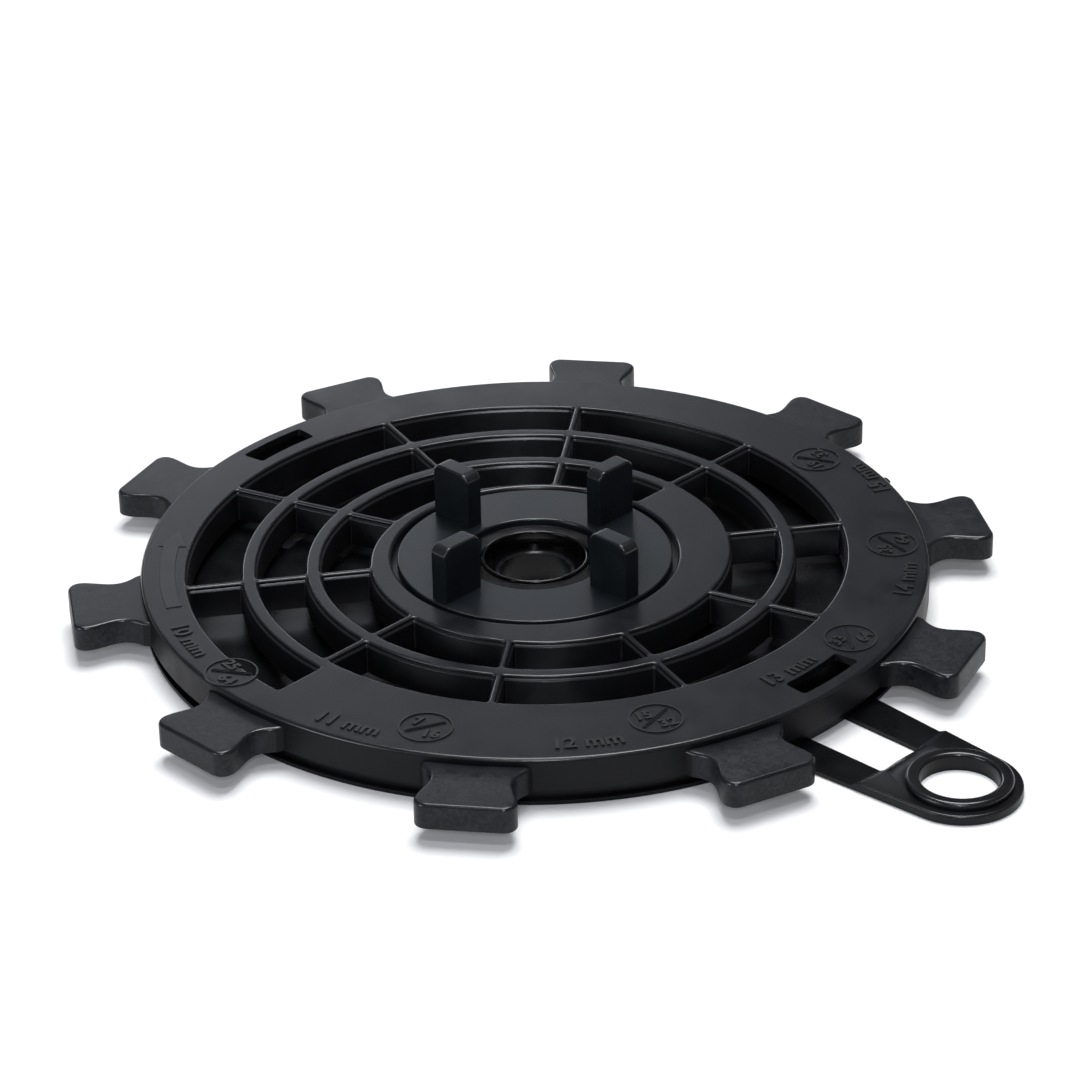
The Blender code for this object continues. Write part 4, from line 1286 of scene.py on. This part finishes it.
world = bpy.data.worlds.new("white studio")
world.use_nodes = True
scene.world = world
background = world.node_tree.nodes["Background"]
seen = add_node(world.node_tree, "ShaderNodeLightPath").outputs["Is Camera Ray"]
strength = add_node(
    world.node_tree, "ShaderNodeMapRange", links={"Value": seen},
    values={"To Min": ROOM_LIGHT, "To Max": 1.0},
).outputs["Result"]
connect(world.node_tree, background, {"Strength": strength}, {"Color": linear("#ffffff")})


def soft_box(name, place, size, watts, tint="#ffffff"):
    """A rectangular lamp at a place, aimed at the part. Its size is in metres."""
    lamp = bpy.data.lights.new(name, "AREA")
    lamp.shape = "RECTANGLE"
    lamp.size, lamp.size_y = size
    lamp.energy = watts
    lamp.color = linear(tint)[:3]
    holder = bpy.data.objects.new(name, lamp)
    holder.location = place
    holder.rotation_euler = (-Vector(place)).to_track_quat("-Z", "Y").to_euler()
    scene.collection.objects.link(holder)
    print(name + ":", watts, "W")


COOL = "#f1f5ff"
soft_box("overhead box", (0.12, 0.5, 2.3), (1.3, 1.1), 50.0)
soft_box("back left box", (-0.35, 1.6, 0.56), (1.0, 0.34), 3.9, COOL)
soft_box("front left box", (-1.3, -0.9, 0.5), (0.7, 0.5), 5.0, COOL)
soft_box("front strip", (0.0, -0.6, 1.08), (0.5, 0.12), 2.0, COOL)
soft_box("low front strip", (0.03, -1.5, 0.98), (0.2, 0.3), 4.8, COOL)

# %% [markdown]
# ## Camera
# The camera stands about a metre away and looks down at the disc. Its distance, height and lens were
# found by matching the teeth to the photograph. The picture's middle isn't the disc's, so the camera
# first looks at the disc's centre and is then turned until that centre falls on its own pixel.

# %% Make the camera
CAMERA_DISTANCE = 959.6 * MM
CAMERA_ELEVATION = math.radians(28.53)
CAMERA_ROLL = -0.0195
FOCAL_PIXELS = 3775.6
PICTURE_PIXELS = 1080
AXIS_PIXEL = (534.63, 552.38)
SENSOR_MM = 36.0


def camera_axes(back):
    """The camera's rotation, with the disc's centre on its pixel."""
    right = Vector((1.0, 0.0, 0.0))
    facing = Matrix((right, -back.cross(right), -back))
    middle = PICTURE_PIXELS / 2
    yaw = math.atan2(AXIS_PIXEL[0] - middle, FOCAL_PIXELS)
    pitch = math.atan2(AXIS_PIXEL[1] - middle, FOCAL_PIXELS)
    turned_back = Matrix.Rotation(-pitch, 3, "X") @ Matrix.Rotation(yaw, 3, "Y")
    looking = Matrix.Rotation(CAMERA_ROLL, 3, "Z") @ turned_back @ facing
    return Matrix((looking[0], -looking[1], -looking[2])).transposed()


back = Vector((0.0, -math.cos(CAMERA_ELEVATION), math.sin(CAMERA_ELEVATION)))
place = Vector((0.0, 0.0, HEAD_TOP)) + CAMERA_DISTANCE * back
lens = bpy.data.cameras.new("product camera")
lens.sensor_fit = "HORIZONTAL"
lens.sensor_width = SENSOR_MM
lens.lens = SENSOR_MM * FOCAL_PIXELS / PICTURE_PIXELS
camera = bpy.data.objects.new("product camera", lens)
camera.matrix_world = Matrix.Translation(place) @ camera_axes(back).to_4x4()
scene.collection.objects.link(camera)
scene.camera = camera
scene.view_settings.view_transform = "Standard"
print("lens:", round(lens.lens, 1), "mm")
